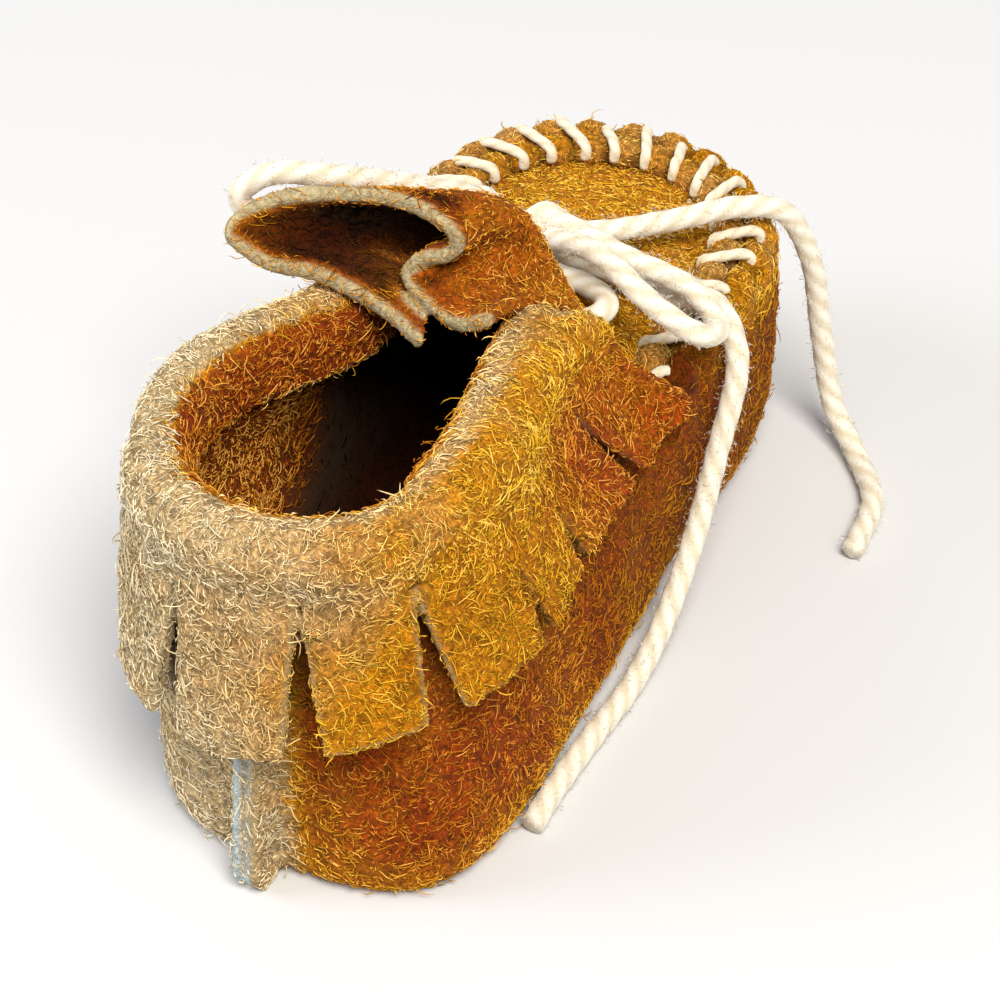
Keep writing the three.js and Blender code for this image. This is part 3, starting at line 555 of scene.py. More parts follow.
def grain(tree, size_mm, **settings):
    """Noise with features of that size on the piece itself."""
    place = add_node(tree, "ShaderNodeTexCoord").outputs["Object"]
    return add_node(tree, "ShaderNodeTexNoise", {"Vector": place}, Scale=1 / (size_mm * MM),
                    **settings).outputs["Fac"]


def remap(tree, value, low, high, **settings):
    """A value stretched to lie between two others."""
    return add_node(tree, "ShaderNodeMapRange", {"Value": value}, To_Min=low, To_Max=high,
                    **settings).outputs[0]


def blend(tree, share, under, over):
    """One colour laid over another, each a plain colour or the output of a node."""
    mix = add_node(tree, "ShaderNodeMix", {"Factor": share}, data_type="RGBA")
    for socket, source in zip((mix.inputs[6], mix.inputs[7]), (under, over)):
        if isinstance(source, bpy.types.NodeSocket):
            tree.links.new(source, socket)
        else:
            socket.default_value = source
    return mix.outputs[2]


def toned(tree, tint, level):
    """A colour made lighter or darker."""
    return add_node(tree, "ShaderNodeHueSaturation", {"Color": tint, "Value": level}).outputs[0]


def bump(tree, height, strength, deep_mm):
    return add_node(tree, "ShaderNodeBump", {"Height": height}, Strength=strength,
                    Distance=deep_mm * MM).outputs[0]


def surface(tree, links, **settings):
    """The shader of a material, led to its output."""
    shader = add_node(tree, "ShaderNodeBsdfPrincipled", links, **settings)
    add_node(tree, "ShaderNodeOutputMaterial", {"Surface": shader.outputs[0]})


def hide_ramp(tree, gold, *stops):
    """Colour of the hide by its tone, from grey-tan over golden to rust."""
    ramp = add_node(tree, "ShaderNodeValToRGB", {"Fac": gold})
    ramp.color_ramp.elements.new(0.5)
    for element, stop in zip(ramp.color_ramp.elements, stops):
        element.color = stop
    return ramp.outputs["Color"]


def suede_material(suede):
    """Split suede, brushed on both sides: no grain skin, only matted fibre. The eye gets a dry,
    light-soaking surface of pale curling threads with dark flecks between them."""
    material, tree = new_material("napped_split_suede")
    gold, inside_and_painted_shade, raw, seam = (stored(tree, name) for name in ("gold", "inside_and_painted_shade", "raw", "seam"))
    ground = hide_ramp(tree, gold, suede.pale, suede.golden, suede.rust)
    # matted threads about 0.4 mm apart that cross in two layers
    upper = grain(tree, 1.7, noise_type="RIDGED_MULTIFRACTAL", Detail=2.0, Roughness=0.55, Lacunarity=2.1,
                  Offset=0.95, Gain=1.6, Distortion=0.7)
    lower = grain(tree, 0.55, Detail=3.0, Roughness=0.65, Distortion=1.2)
    # patches where the nap was brushed another way, about 6 mm
    brushed = grain(tree, 6.0, Detail=2.0)
    level = remap(tree, upper, 0.62, 1.3, From_Min=0.35, From_Max=1.25)
    # painted shade: the last factor, stored on each piece, darkens the ground, and is painted light where it
    # falls below zero
    for part in (remap(tree, lower, 0.34, 1.12, From_Min=0.32, From_Max=0.6),
                 remap(tree, brushed, 0.84, 1.14, From_Min=0.3, From_Max=0.7),
                 remap(tree, inside_and_painted_shade, 1.0, 0.05, clamp=False)):
        level = add_node(tree, "ShaderNodeMath", {0: level, 1: part}, operation="MULTIPLY").outputs[0]
    # a cut edge shows the hide's pale middle, speckled by its bundles of fibre; the clean heel edge is tinted
    # blue-grey as painted cool light
    bundles = grain(tree, 0.6, Detail=4.0, Roughness=0.7)
    speck = remap(tree, bundles, 0.6, 1.15, From_Min=0.35, From_Max=0.65)
    cut = toned(tree, blend(tree, seam, suede.edge, suede.seam), speck)
    faces = blend(tree, raw, toned(tree, ground, level), cut)
    surface(tree, {"Base Color": faces, "Normal": bump(tree, level, 0.8, 0.25)}, Roughness=0.95,
            Specular_IOR_Level=0.06, Sheen_Weight=0.06, Sheen_Roughness=0.6, Sheen_Tint=linear("#f0d9a8"))
    return material


def nap_material(suede):
    """Loose collagen fibre drawn up by brushing: each hair has its own tone, dull and half clear, with the
    painted shade and light of the leather under it, so the pile sparkles pale against the darker mat under
    it."""
    material, tree = new_material("brushed_suede_fibre")
    gold, tone = (stored(tree, name) for name in ("gold", "tone"))
    hair = hide_ramp(tree, gold, suede.pale_nap, suede.golden_nap, suede.rust_nap)
    stray = hide_ramp(tree, gold, suede.pale_stray, suede.golden_stray, suede.rust_stray)
    bleached = remap(tree, tone, 0.0, 0.8, From_Min=0.68, From_Max=0.95)
    body = toned(tree, hair, remap(tree, tone, 0.26, 1.08, clamp=False))
    surface(tree, {"Base Color": blend(tree, bleached, body, stray)}, Roughness=0.8, Specular_IOR_Level=0.1)
    return material


def cotton_material(name, yarn, furrow, fibre_mm):
    """Soft spun cotton, twisted from strands: matt cream yarn with painted warm shade in the furrows and a
    faint fuzz that catches light at the edge."""
    material, tree = new_material(name)
    spun = grain(tree, fibre_mm, Detail=4.0, Roughness=0.6, Distortion=0.8)
    soil = remap(tree, spun, -0.25, 0.25)
    # painted shade: the low furrows take the furrow colour and the tops the lit yarn, mottled by the spun
    # noise
    lit = add_node(tree, "ShaderNodeMath", {0: stored(tree, "high"), 1: soil}, operation="ADD",
                   use_clamp=True)
    body = blend(tree, lit.outputs[0], furrow, yarn)
    surface(tree, {"Base Color": body, "Normal": bump(tree, spun, 0.5, 0.2)}, Roughness=0.85,
            Specular_IOR_Level=0.2, Sheen_Weight=0.3, Sheen_Roughness=0.5)
    return material


def floor_material(ground):
    """Matt seamless paper: even, pale and without a gleam."""
    material, tree = new_material("matt_paper_floor")
    tooth = grain(tree, 0.8, Detail=2.0)
    surface(tree, {"Normal": bump(tree, tooth, 0.04, 0.05)}, Base_Color=ground, Roughness=0.9,
            Specular_IOR_Level=0.1)
    return material


def finish_of(name, make, *values):
    """A material by name, made once."""
    return bpy.data.materials.get(name) or make(*values)


def suede_finish():
    return finish_of("napped_split_suede", suede_material, bpy.context.scene.bootie_suede)


def lace_finish():
    lace = bpy.context.scene.bootie_lace
    return finish_of("twisted_cotton_lace", cotton_material, "twisted_cotton_lace", lace.cotton,
                     lace.furrow, LACE_FIBRE)


# Leather pieces

def soften(node, size, passes):
    """A fine, eased copy of a cut solid's mesh, in place of its facets."""
    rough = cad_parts[node].data.copy()
    bm = bmesh.new()
    bm.from_mesh(rough)
    bmesh.ops.remove_doubles(bm, verts=bm.verts[:], dist=WELD * MM)
    bm.to_mesh(rough)
    bm.free()
    block = bpy.data.objects.new(node + "_block", rough)
    bpy.context.scene.collection.objects.link(block)
    remesh = block.modifiers.new("Remesh", "REMESH")
    remesh.mode = "VOXEL"
    remesh.voxel_size = size
    graph = bpy.context.evaluated_depsgraph_get()
    fine = bpy.data.meshes.new_from_object(block.evaluated_get(graph))
    bpy.data.objects.remove(block)
    bpy.data.meshes.remove(rough)
    bm = bmesh.new()
    bm.from_mesh(fine)
    for _ in range(passes):
        bmesh.ops.smooth_vert(bm, verts=bm.verts[:], factor=0.5, use_axis_x=True, use_axis_y=True,
                              use_axis_z=True)
    bm.to_mesh(fine)
    bm.free()
    if not len(fine.polygons):
        raise RuntimeError("no leather was left of " + node)
    return fine


def from_line(co, line):
    """Distance of each point from a line of points."""
    best = np.full(len(co), np.inf)
    for a, b in zip(line[:-1], line[1:]):
        way = b - a
        t = np.clip((co - a) @ way / (way @ way), 0, 1)
        best = np.minimum(best, np.linalg.norm(co - a - t[:, None] * way, axis=1))
    return best


def work_leather(mesh, creases, sag_mm, lump_mm, on_floor=False):
    """Presses the creases in, lets the sheet sag a little and roughens its face."""
    co, normals = points_of(mesh)
    move = np.zeros_like(co)
    for crease in creases:
        near = np.exp(-(from_line(co, placed(crease["line"])) / (crease["wide"] * MM)) ** 2)
        push = np.array(crease["push"], float)
        move += near[:, None] * crease["deep"] * MM * push / np.linalg.norm(push)
    for k in range(3):
        move[:, k] += sag_mm * MM * wander(co, 14, 11 + k)
    move += normals * (lump_mm * MM * (wander(co, 3.2, 21) + 0.6 * wander(co, 1.4, 22)))[:, None]
    if on_floor:
        move *= ease(0.2, 4.0, co[:, 2] / MM)[:, None]
    move_to(mesh, co + move)


def from_cut(mesh, node, widest_mm, least_mm):
    """Distance in mm of each point from the hide's raw cut edge, the narrow, long strips between the
    solid's sharp edges, and how far in mm it lies in the open of an upright cut."""
    bm = bmesh.new()
    bm.from_mesh(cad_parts[node].data)
    bmesh.ops.remove_doubles(bm, verts=bm.verts[:], dist=WELD * MM)
    bm.faces.ensure_lookup_table()
    left, strips = set(range(len(bm.faces))), []
    while left:
        patch, border = [left.pop()], 0.0
        for index in patch:
            for edge in bm.faces[index].edges:
                if len(edge.link_faces) != 2 or edge.calc_face_angle() > SHARP_ANGLE:
                    border += edge.calc_length()
                    continue
                for face in edge.link_faces:
                    if face.index in left:
                        left.remove(face.index)
                        patch.append(face.index)
        area = sum(bm.faces[index].calc_area() for index in patch)
        if border > 2 * least_mm * MM and area / (border / 2) < widest_mm * MM:
            strips += patch
    corners = [vert.co.copy() for index in strips for vert in bm.faces[index].verts]
    tree = BVHTree.FromPolygons(corners, [tuple(range(i, i + 3)) for i in range(0, len(corners), 3)])
    bm.free()
    co, _ = points_of(mesh)
    away, opened = np.zeros(len(co)), np.zeros(len(co))
    for i, p in enumerate(co):
        near, normal, _, away[i] = tree.find_nearest(Vector(p))
        opened[i] = (Vector(p) - near).dot(normal) if normal.z > TAB_END_DOWN else 0.0
    return away / MM, opened / MM


def leather(node, name, creases, size, passes=5, sag=0.3, lump=0.1, on_floor=False):
    """One leather piece, worked and ready for its marks."""
    mesh = soften(node, size, passes)
    work_leather(mesh, creases, sag, lump, on_floor)
    return show(name, mesh, suede_finish(), "suede", node)


class BOOTIE_OT_bottom(bpy.types.Operator):
    """Sole, walls and puckered toe rim from one hide, closed up the heel"""
    bl_idname = "bootie.bottom"
    bl_label = "Bottom Piece"

    def execute(self, context):
        suede = context.scene.bootie_suede
        piece = leather("moccasin_bottom", "moccasin_bottom_suede", BOTTOM_CREASES,
                        suede.mesh_size * BOTTOM_COARSER, passes=3, on_floor=True)
        co, normals = points_of(piece.data)
        x, y, _ = co.T / MM
        zone = zones(BOTTOM_TONES, co)
        # of the two edges closed at the heel the left one is clean and the right one furred over
        clean = zone("clean")
        cut, _ = from_cut(piece.data, "moccasin_bottom", **BOTTOM_CUT)
        at_heel = zone("heel") * ease(0.35, 0.75, -normals[:, 1])
        shown = RAW["furred"] + (1 - RAW["furred"]) * clean
        store(piece.data, "raw", ease(*CUT_EDGE, cut) * at_heel * shown)
        store(piece.data, "seam", clean)
        middle = np.stack([np.full_like(x, FOOT_MIDDLE["x"]), np.clip(y, *FOOT_MIDDLE["y"]),
                           np.full_like(x, FOOT_MIDDLE["z"])], axis=1)
        inside_and_painted_shade = ease(0.0, 0.35, facing(co, normals, middle * MM))
        inside_and_painted_shade *= np.where(y < OPEN_RIM_Y, 1.0, zone("under_rim"))
        # painted light on the left wall inside, and painted shade on the rest of the foot room
        lit = zone("lit")
        toe = zone("toe")
        right = to_the_right(co, *BOTTOM_TONES["right"]) * (1 - toe)
        right += to_the_right(co, *BOTTOM_TONES["toe_right"]) * toe
        rim = zone("rim")
        # painted shade behind the tabs, on the right of the wall and in the dips between the puckers, and
        # less of it at the wall's foot
        cover = tree_of(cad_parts["cuff"].data)
        reach = COVER_REACH * MM
        hidden = np.array([(cover.find_nearest(Vector(p), reach)[3] or reach) for p in co]) / MM
        behind = ease(*BOTTOM_TONES["behind_cuff"], hidden) * zone("behind") * (1 - inside_and_painted_shade)
        foot = zone("foot") * (1 - toe)
        # painted shade on the right wall, more of it further ahead
        dull = SHADE["wall"] + SHADE["wall_ahead"] * zone("dull")
        dull *= right * (1 - rim) * (1 - inside_and_painted_shade) * (1 - foot)
        gather = (1 - pucker_on(co)) ** 1.5 * rim * ease(0.2, 0.7, normals[:, 2])
        shade = np.maximum.reduce([SHADE["behind"] * behind, dull, SHADE["gather"] * gather]) * (1 - inside_and_painted_shade)
        shade += (SHADE["inside"] - SHADE["inside_lit"] * lit) * inside_and_painted_shade
        # the shade stored here is painted shade, and painted light where the left wall inside is lit
        store(piece.data, "inside_and_painted_shade", shade)
        store(piece.data, "bare", BARE["inside"] * inside_and_painted_shade * (1 - lit) + BARE["behind"] * behind)
        wall = (HIDE["right_wall"] - HIDE["less_toe"] * toe - HIDE["less_foot"] * foot) * right
        base = (HIDE["toe"] * toe + wall) * (1 - rim) + (HIDE["rim"] + HIDE["rim_right"] * right) * rim
        base += HIDE["left_wall"] * zone("left") * (1 - toe) * (1 - right)
        base *= 1 - HIDE["flank_pale"] * ease(*BOTTOM_TONES["flank_cut"], cut) * zone("flank")
        # inside, the tone turns rust, partly as painted shade, and less so under the painted light
        base = np.maximum(base, (HIDE["inside"] - HIDE["less_lit"] * lit) * inside_and_painted_shade)
        store(piece.data, "gold", hide_tone(co, base))
        return {"FINISHED"}


class BOOTIE_OT_vamp(bpy.types.Operator):
    """Top of the toe, sewn inside the puckered rim"""
    bl_idname = "bootie.vamp"
    bl_label = "Vamp"

    def execute(self, context):
        suede = context.scene.bootie_suede
        piece = leather("vamp", "vamp_suede", VAMP_CREASES, suede.mesh_size, sag=0.25)
        co, normals = points_of(piece.data)
        store(piece.data, "raw", np.zeros(len(co)))
        # painted shade on the faces that turn down
        store(piece.data, "inside_and_painted_shade", ease(0.2, -0.4, normals[:, 2]))
        store(piece.data, "gold", hide_tone(co, HIDE["vamp"]))
        return {"FINISHED"}


class BOOTIE_OT_tongue(bpy.types.Operator):
    """Tongue that stands up behind the bow and curls over at its end"""
    bl_idname = "bootie.tongue"
    bl_label = "Tongue"

    def execute(self, context):
        suede = context.scene.bootie_suede
        piece = leather("tongue", "tongue_suede", TONGUE_CREASES, suede.mesh_size * TONGUE_FINER, passes=3,
                        sag=0.2)
        co, normals = points_of(piece.data)
        zone = zones(TONGUE_TONES, co)
        edge = from_line(co, placed(smooth_route(TONGUE_EDGE, 1.0))) / MM
        edge = np.maximum(0, edge - TONGUE_EDGE_HALF)
        # painted shade in the hollow of the curl, lighter towards its low left lip and the shoulder, and the
        # tone turns rustier with it
        under = ease(0.0, 0.35, normals @ np.array(HOLLOW_WAY)) * zone("hollow")
        under *= SHADE["hollow"] + SHADE["hollow_deep"] * zone("deep")
        under *= ease(*TONGUE_TONES["hollow_edge"], edge)
        store(piece.data, "raw", ease(*TONGUE_CUT_EDGE, edge))
        store(piece.data, "inside_and_painted_shade", under)
        store(piece.data, "gold", hide_tone(co, HIDE["tongue"] + HIDE["hollow"] * under))
        return {"FINISHED"}


class BOOTIE_OT_cuff(bpy.types.Operator):
    """Ankle cuff folded over the lace and cut into tabs"""
    bl_idname = "bootie.cuff"
    bl_label = "Cuff"

    def execute(self, context):
        suede = context.scene.bootie_suede
        piece = leather("cuff", "cuff_suede", CUFF_CREASES, suede.mesh_size, passes=4)
        co, normals = points_of(piece.data)
        x, y, z = co.T / MM
        zone = zones(CUFF_TONES, co)
        cut, opened = from_cut(piece.data, "cuff", **CUFF_CUT)
        middle = np.stack([np.full_like(x, COLLAR_MIDDLE["x"]), np.clip(y, *COLLAR_MIDDLE["y"]), z], axis=1)
        inward = facing(co, normals, middle * MM)
        inside_and_painted_shade = ease(0.35, 0.8, inward)
        # the slots stay open up to their points
        slot = ease(*SLOT_OPEN, opened) * ease(*SLOT_NEAR, cut) * ease(0.1, -0.2, inward)
        move_to(piece.data, co - normals * (SLOT_DEEP * MM * slot)[:, None])
        tab = zone("tab")
        right = to_the_right(co, *CUFF_TONES["tab_right"]) * tab
        right += to_the_right(co, *CUFF_TONES["roll_right"]) * (1 - tab)
        ahead = zone("ahead") * tab
        # the short cuts ahead on the right are drawn together and show only as dark lines of painted shade
        drawn = zone("drawn") * right * tab
        shown = RAW["cuff"] - RAW["less_drawn"] * drawn
        store(piece.data, "raw", shown * ease(*CUT_EDGE, cut) * (1 - slot))
        base = right * (HIDE["cuff"] + HIDE["tab"] * tab + HIDE["tab_ahead"] * ahead)
        base += HIDE["heel_tab"] * tab * zone("heel_tab") * (1 - right)
        base += HIDE["cuff_left"] * zone("left") * (1 - right)
        # painted highlight: the roll is paler along its crest on the right
        crest = ease(-0.15, 0.2, inward) * ease(0.75, 0.45, inward) * (1 - tab)
        base *= 1 - HIDE["crest_highlight"] * crest * to_the_right(co, *CUFF_TONES["crest_right"])
        # the inside of the collar turns rust, partly as painted shade
        store(piece.data, "gold", hide_tone(co, np.maximum(base, inside_and_painted_shade)))
        # painted light on the inside of the collar on the left, and painted shade on the tabs, in the slots
        # and along the drawn cuts
        lit = inside_and_painted_shade * zone("lit")
        shade = (SHADE["tab"] - SHADE["less_ahead"] * ahead) * right + SHADE["tab_left"] * (1 - right)
        shade = shade * tab * (1 - inside_and_painted_shade) - SHADE["collar_lit"] * lit
        dark = np.maximum(SHADE["slot"] * slot, SHADE["drawn"] * drawn * ease(*CUFF_TONES["drawn_cut"], cut))
        store(piece.data, "inside_and_painted_shade", np.maximum(shade, dark))
        # no fibre is seen in the slots and between the tabs and the wall
        wall = tree_of(bpy.data.objects["moccasin_bottom_suede"].data)
        reach = TUCKED_REACH * MM
        tucked = [turned > 0.3 and wall.ray_cast(Vector(p + n * 0.1 * MM), Vector(n), reach)[0] is not None
                  for p, n, turned in zip(co, normals, inward)]
        store(piece.data, "bare", np.maximum(np.array(tucked, float), slot))
        return {"FINISHED"}


# Lace

def twist_relief(spacing):
    """Three soft strands laid round each other, each crossing the side at that spacing."""
    def relief(angle, along):
        return 0.972 + 0.028 * math.cos(3 * angle + 2 * math.pi * along / spacing)
    return relief


def lace_piece(name, path, node):
    """A twisted lace along a path in metres."""
    lace = bpy.context.scene.bootie_lace
    bm = bmesh.new()
    high = bm.verts.layers.float.new("high")
    tube = yarn_tube(bm, path, lace.diameter / 2, lace.sides, twist_relief(lace.strand))
    mark_yarn(*tube, high, *LACE_RELIEF)
    close_tubes(bm)
    return show(name, finished(bm, name), lace_finish(), "lace", node)


class BOOTIE_OT_knot(bpy.types.Operator):
    """Middle of the bow: one turn of lace drawn tight round the strands"""
    bl_idname = "bootie.knot"
    bl_label = "Bow Knot"

    def execute(self, context):
        lace = context.scene.bootie_lace
        centre = np.array(KNOT_AT)
        ring = np.linspace(0, 2 * math.pi, 37)
        wrap = centre + np.stack([np.sin(ring), np.cos(ring), np.sin(ring)], axis=1) * KNOT_TURN
        wrap[-1] = wrap[0]
        # every strand that leaves the knot is drawn into it
        strands = []
        for route in (LOOP_RIGHT, LOOP_RIGHT[::-1], LOOP_LEFT, LOOP_LEFT[::-1], END_FRONT, END_SIDE,
                      CASING_RUN, CASING_RUN[::-1]):
            fine = smooth_route(route, 0.5)
            deep = centre + KNOT_DEPTH * (fine[0] - centre)
            strands.append(smooth_route([deep, fine[0], fine[3]], LACE_STEP))
        bm = bmesh.new()
        high = bm.verts.layers.float.new("high")
        for k, path in enumerate([wrap] + strands):
            radius = lace.diameter / 2 * (KNOT_SWELL if k else 1.0)
            tube = yarn_tube(bm, placed(path), radius, lace.sides, twist_relief(lace.strand), k == 0)
            mark_yarn(*tube, high, *LACE_RELIEF)
        close_tubes(bm)
        name = "lace_knot_cotton"
        show(name, finished(bm, name), lace_finish(), "lace", "lace_knot")
        return {"FINISHED"}


class BOOTIE_OT_lace(bpy.types.Operator):
    """Lace through the cuff's fold, the two loops of the bow and its two ends"""
    bl_idname = "bootie.lace"
    bl_label = "Lace"

    def execute(self, context):
        lace_piece("lace_run_cotton", placed(smooth_route(CASING_RUN, CASING_STEP)), "lace_run")
        for name, route, node, far_end, lay in (
            ("lace_loop_right_cotton", LOOP_RIGHT, "lace_loop_right", "knot", "loose"),
            ("lace_loop_left_cotton", LOOP_LEFT, "lace_loop_left", "knot", "loose"),
            ("lace_end_front_cotton", END_FRONT, "lace_end_front", "bare", "loose"),
            ("lace_end_side_cotton", END_SIDE, "lace_end_side", "bare", "hanging"),
        ):
            path = placed(smooth_route(route, LACE_STEP))
            piece = lace_piece(name, path, node)
        return {"FINISHED"}


# Stitches

class BOOTIE_OT_rim(bpy.types.Operator):
    """Edge of the vamp turned up inside the rim, pinched in by every stitch"""
    bl_idname = "bootie.rim"
    bl_label = "Vamp Edge"

    def execute(self, context):
        rings = VAMP_EDGE["rings_to_pucker"]
        half = [3 + k / (rings * SIDE_PUCKERS) for k in range(rings * SIDE_PUCKERS)]
        half += [4 + k / (rings * TOE_PUCKERS) for k in range(rings * TOE_PUCKERS + 1)]
        rows = [(place, 1) for place in half] + [(place, -1) for place in reversed(half[:-1])]
        path, full = [], []
        for place, side in rows:
            at, _, out = rim_at(place, side)
            below = VAMP_EDGE["below"] - VAMP_EDGE["lift"] * pucker_at(place)
            path.append(at - out * VAMP_EDGE["inside"] - np.array((0, 0, below)))
            full.append(0.52 + 0.48 * pucker_at(place) ** 0.7)
        path = placed(path)
        along = np.concatenate([[0], np.cumsum(np.linalg.norm(np.diff(path, axis=0), axis=1))])
        bm = bmesh.new()
        yarn_tube(bm, path, VAMP_EDGE["radius"] * MM, VAMP_EDGE["sides"],
                  lambda angle, far: float(np.interp(far, along, full)))
        close_tubes(bm)
        piece = show("vamp_edge_suede", finished(bm, "vamp_edge_suede"), suede_finish(), "suede")
        co, _ = points_of(piece.data)
        store(piece.data, "raw", np.zeros(len(co)))
        # painted shade in the dips between the puckers
        store(piece.data, "inside_and_painted_shade", SHADE["vamp_edge"] * (1 - pucker_on(co)) ** 1.5)
        store(piece.data, "gold", hide_tone(co, HIDE["vamp_edge"]))
        return {"FINISHED"}


def thread_relief(angle, far):
    """Two plies of thread laid round each other."""
    return 0.93 + 0.12 * abs(math.cos(angle + math.pi * far / (THREAD_TWIST * MM)))


class BOOTIE_OT_stitches(bpy.types.Operator):
    """Slanting whip stitches in the dips between the toe's puckers"""
    bl_idname = "bootie.stitches"
    bl_label = "Whip Stitches"

    def execute(self, context):
        stitch = context.scene.bootie_stitch
        trees = [tree_of(bpy.data.objects[name].data)
                 for name in ("moccasin_bottom_suede", "vamp_suede", "vamp_edge_suede")]
        up = np.array((0, 0, 1.0))

        def on_leather(start, way):
            hits = [tree.ray_cast(Vector(start), Vector(way), RAY_REACH * MM) for tree in trees]
            hits = [hit for hit in hits if hit[0] is not None]
            if not hits:
                raise RuntimeError("a whip stitch found no leather under it")
            return np.array(min(hits, key=lambda hit: hit[3])[0])

        bm = bmesh.new()
        high = bm.verts.layers.float.new("high")
        places = [(place, side) for side in (1, -1) for place in STITCH_PLACES if side > 0 or place < 5]
        hand = np.random.default_rng(7)
        tilts = STITCH_TILT
        for place, side in places:
            at, along, out = rim_at(place, side)
            middle = placed([at - up * STITCH_MIDDLE["below"] - out * STITCH_MIDDLE["inside"]])[0]
            lean = stitch.slant * hand.uniform(0.7, 1.3)
            route = []
            for tilt in np.linspace(hand.uniform(*tilts["first"]), tilts["last"], tilts["rays"]):
                ray = math.cos(math.radians(tilt)) * out + math.sin(math.radians(tilt)) * up
                slide = along * lean * (tilts["top"] - tilt) / tilts["half"]
                hit = on_leather(middle + slide + ray * tilts["off"] * MM, -ray)
                route.append(hit + ray * stitch.thick * STITCH_RISE)
            # drawn tight, the thread spans the hollow between rim and vamp edge
            k = 1
            while k < len(route) - 1:
                a, b, c = ((p @ out, p @ up) for p in route[k - 1:k + 2])
                if (b[0] - a[0]) * (c[1] - b[1]) - (b[1] - a[1]) * (c[0] - b[0]) <= 0:
                    del route[k]
                    k = max(1, k - 1)
                else:
                    k += 1
            # both ends go down into the leather
            start, end = ((out * tuck["out"] - up * tuck["down"]) * MM for tuck in (STITCH_START, STITCH_END))
            route = [route[0] + start, *route, route[-1] + end]
            path = smooth_route(np.array(route) / MM, LACE_STEP) * MM
            mark_yarn(*yarn_tube(bm, path, stitch.thick / 2, 12, thread_relief), high, *THREAD_RELIEF)
        close_tubes(bm)
        # the darker second colour is painted shade in the thread's furrows
        thread = finish_of("waxed_cotton_thread", cotton_material, "waxed_cotton_thread", stitch.cotton,
                           linear("#b29a6c"), THREAD_FIBRE)
        show("whip_stitches", finished(bm, "whip_stitches"), thread, "lace")
        return {"FINISHED"}


# Nap

def nap_rows(ground, tree, weight, count, rings, length, lift, thick, loose, seed):
    """Points, triangles and tones of fibres rooted on a mesh, the corners they root between and the
    points in each: three-sided spindles that follow the ground, but for a loose share that springs off."""
    rng = np.random.default_rng(seed)
    co, normals = points_of(ground)
    tris = triangles_of(ground)
    a, b, c = (co[tris[:, k]] for k in range(3))
    share = np.linalg.norm(np.cross(b - a, c - a), axis=1) * weight[tris].mean(axis=1)
    pick = rng.choice(len(tris), count, p=share / share.sum())
    u, v = rng.random((2, count, 1))
    u, v = np.where(u + v > 1, 1 - u, u), np.where(u + v > 1, 1 - v, v)
    root = a[pick] + u * (b[pick] - a[pick]) + v * (c[pick] - a[pick])
    up = unit(normals[tris[pick]].mean(axis=1))
    # the nap lies in swirls, and each fibre a little its own way
    turn = 4.5 * wander(root, 12, 31) + 2.0 * wander(root, 3.5, 32) + rng.normal(0, 0.8, count)
    first = unit(np.cross(np.where(np.abs(up[:, 2:]) < 0.9, (0, 0, 1.0), (1.0, 0, 0)), up))
    way = np.cos(turn)[:, None] * first + np.sin(turn)[:, None] * np.cross(up, first)
    long = (length[0] + (length[1] - length[0]) * rng.beta(1.5, 2.8, count)) * MM
    curl = rng.normal(0, 0.3, count)
    springs = rng.random(count) < loose
    high = lift * MM * rng.uniform(0.3, 1.0, count) * np.where(springs, SPRING_LIFT, 1.0)
    stations, ups, ways = [root], [up], [way]
    for _ in range(rings + 1):
        bend = curl + rng.normal(0, 0.3, count)
        way = unit(np.cos(bend)[:, None] * way + np.sin(bend)[:, None] * np.cross(up, way))
        ahead = stations[-1] + way * (long / (rings + 1))[:, None]
        near = [tree.find_nearest(Vector(p)) for p in ahead]
        held = ~springs[:, None]
        free = ahead + up * (SPRING_CLIMB * long / (rings + 1))[:, None]
        ahead = np.where(held, np.array([n[0] for n in near]), free)
        up = np.where(held, np.array([n[1] for n in near]), up)
        way = unit(way - up * np.einsum("ij,ij->i", way, up)[:, None])
        stations.append(ahead)
        ups.append(up)
        ways.append(way)
    rise = np.sin(np.linspace(0.0, NAP_ARCH, rings + 2) * math.pi)
    points = [stations[0] - ups[0] * NAP_ROOT * MM]
    for k in range(1, rings + 1):
        at = stations[k] + ups[k] * (high * rise[k])[:, None]
        over = np.cross(ways[k], ups[k])
        wide = thick * MM / 2 * rng.uniform(0.7, 1.25, count) * (1.0 - 0.3 * (k - 1) / rings)
        for spoke in (0, 2 * math.pi / 3, 4 * math.pi / 3):
            points.append(at + wide[:, None] * (math.cos(spoke) * ups[k] + math.sin(spoke) * over))
    points.append(stations[-1] + ups[-1] * (high * rise[-1])[:, None])
    points = np.stack(points, axis=1)
    points[:, :, 2] = np.maximum(points[:, :, 2], NAP_FLOOR * MM)
    pattern = []
    for j in range(3):
        side, beside = 1 + j, 1 + (j + 1) % 3
        pattern.append((0, beside, side))
        for k in range(rings - 1):
            pattern += [(side + 3 * k, beside + 3 * k, beside + 3 * k + 3),
                        (side + 3 * k, beside + 3 * k + 3, side + 3 * k + 3)]
        pattern.append((side + 3 * rings - 3, beside + 3 * rings - 3, 3 * rings + 1))
    size = 3 * rings + 2
    faces = (np.array(pattern)[None] + size * np.arange(count)[:, None, None]).reshape(-1, 3)
    tone = np.clip(rng.beta(2.4, 1.5, count) + 0.15 * springs, 0, 1)
    return points.reshape(-1, 3), faces, tone, tris[pick], size


def joined(name, points, faces):
    """One mesh from arrays of points and triangles."""
    mesh = bpy.data.meshes.new(name)
    mesh.vertices.add(len(points))
    mesh.vertices.foreach_set("co", points.astype(np.float32).ravel())
    mesh.loops.add(faces.size)
    mesh.loops.foreach_set("vertex_index", faces.astype(np.int32).ravel())
    mesh.polygons.add(len(faces))
    mesh.polygons.foreach_set("loop_start", np.arange(0, faces.size, 3, dtype=np.int32))
    mesh.update(calc_edges=True)
    return mesh


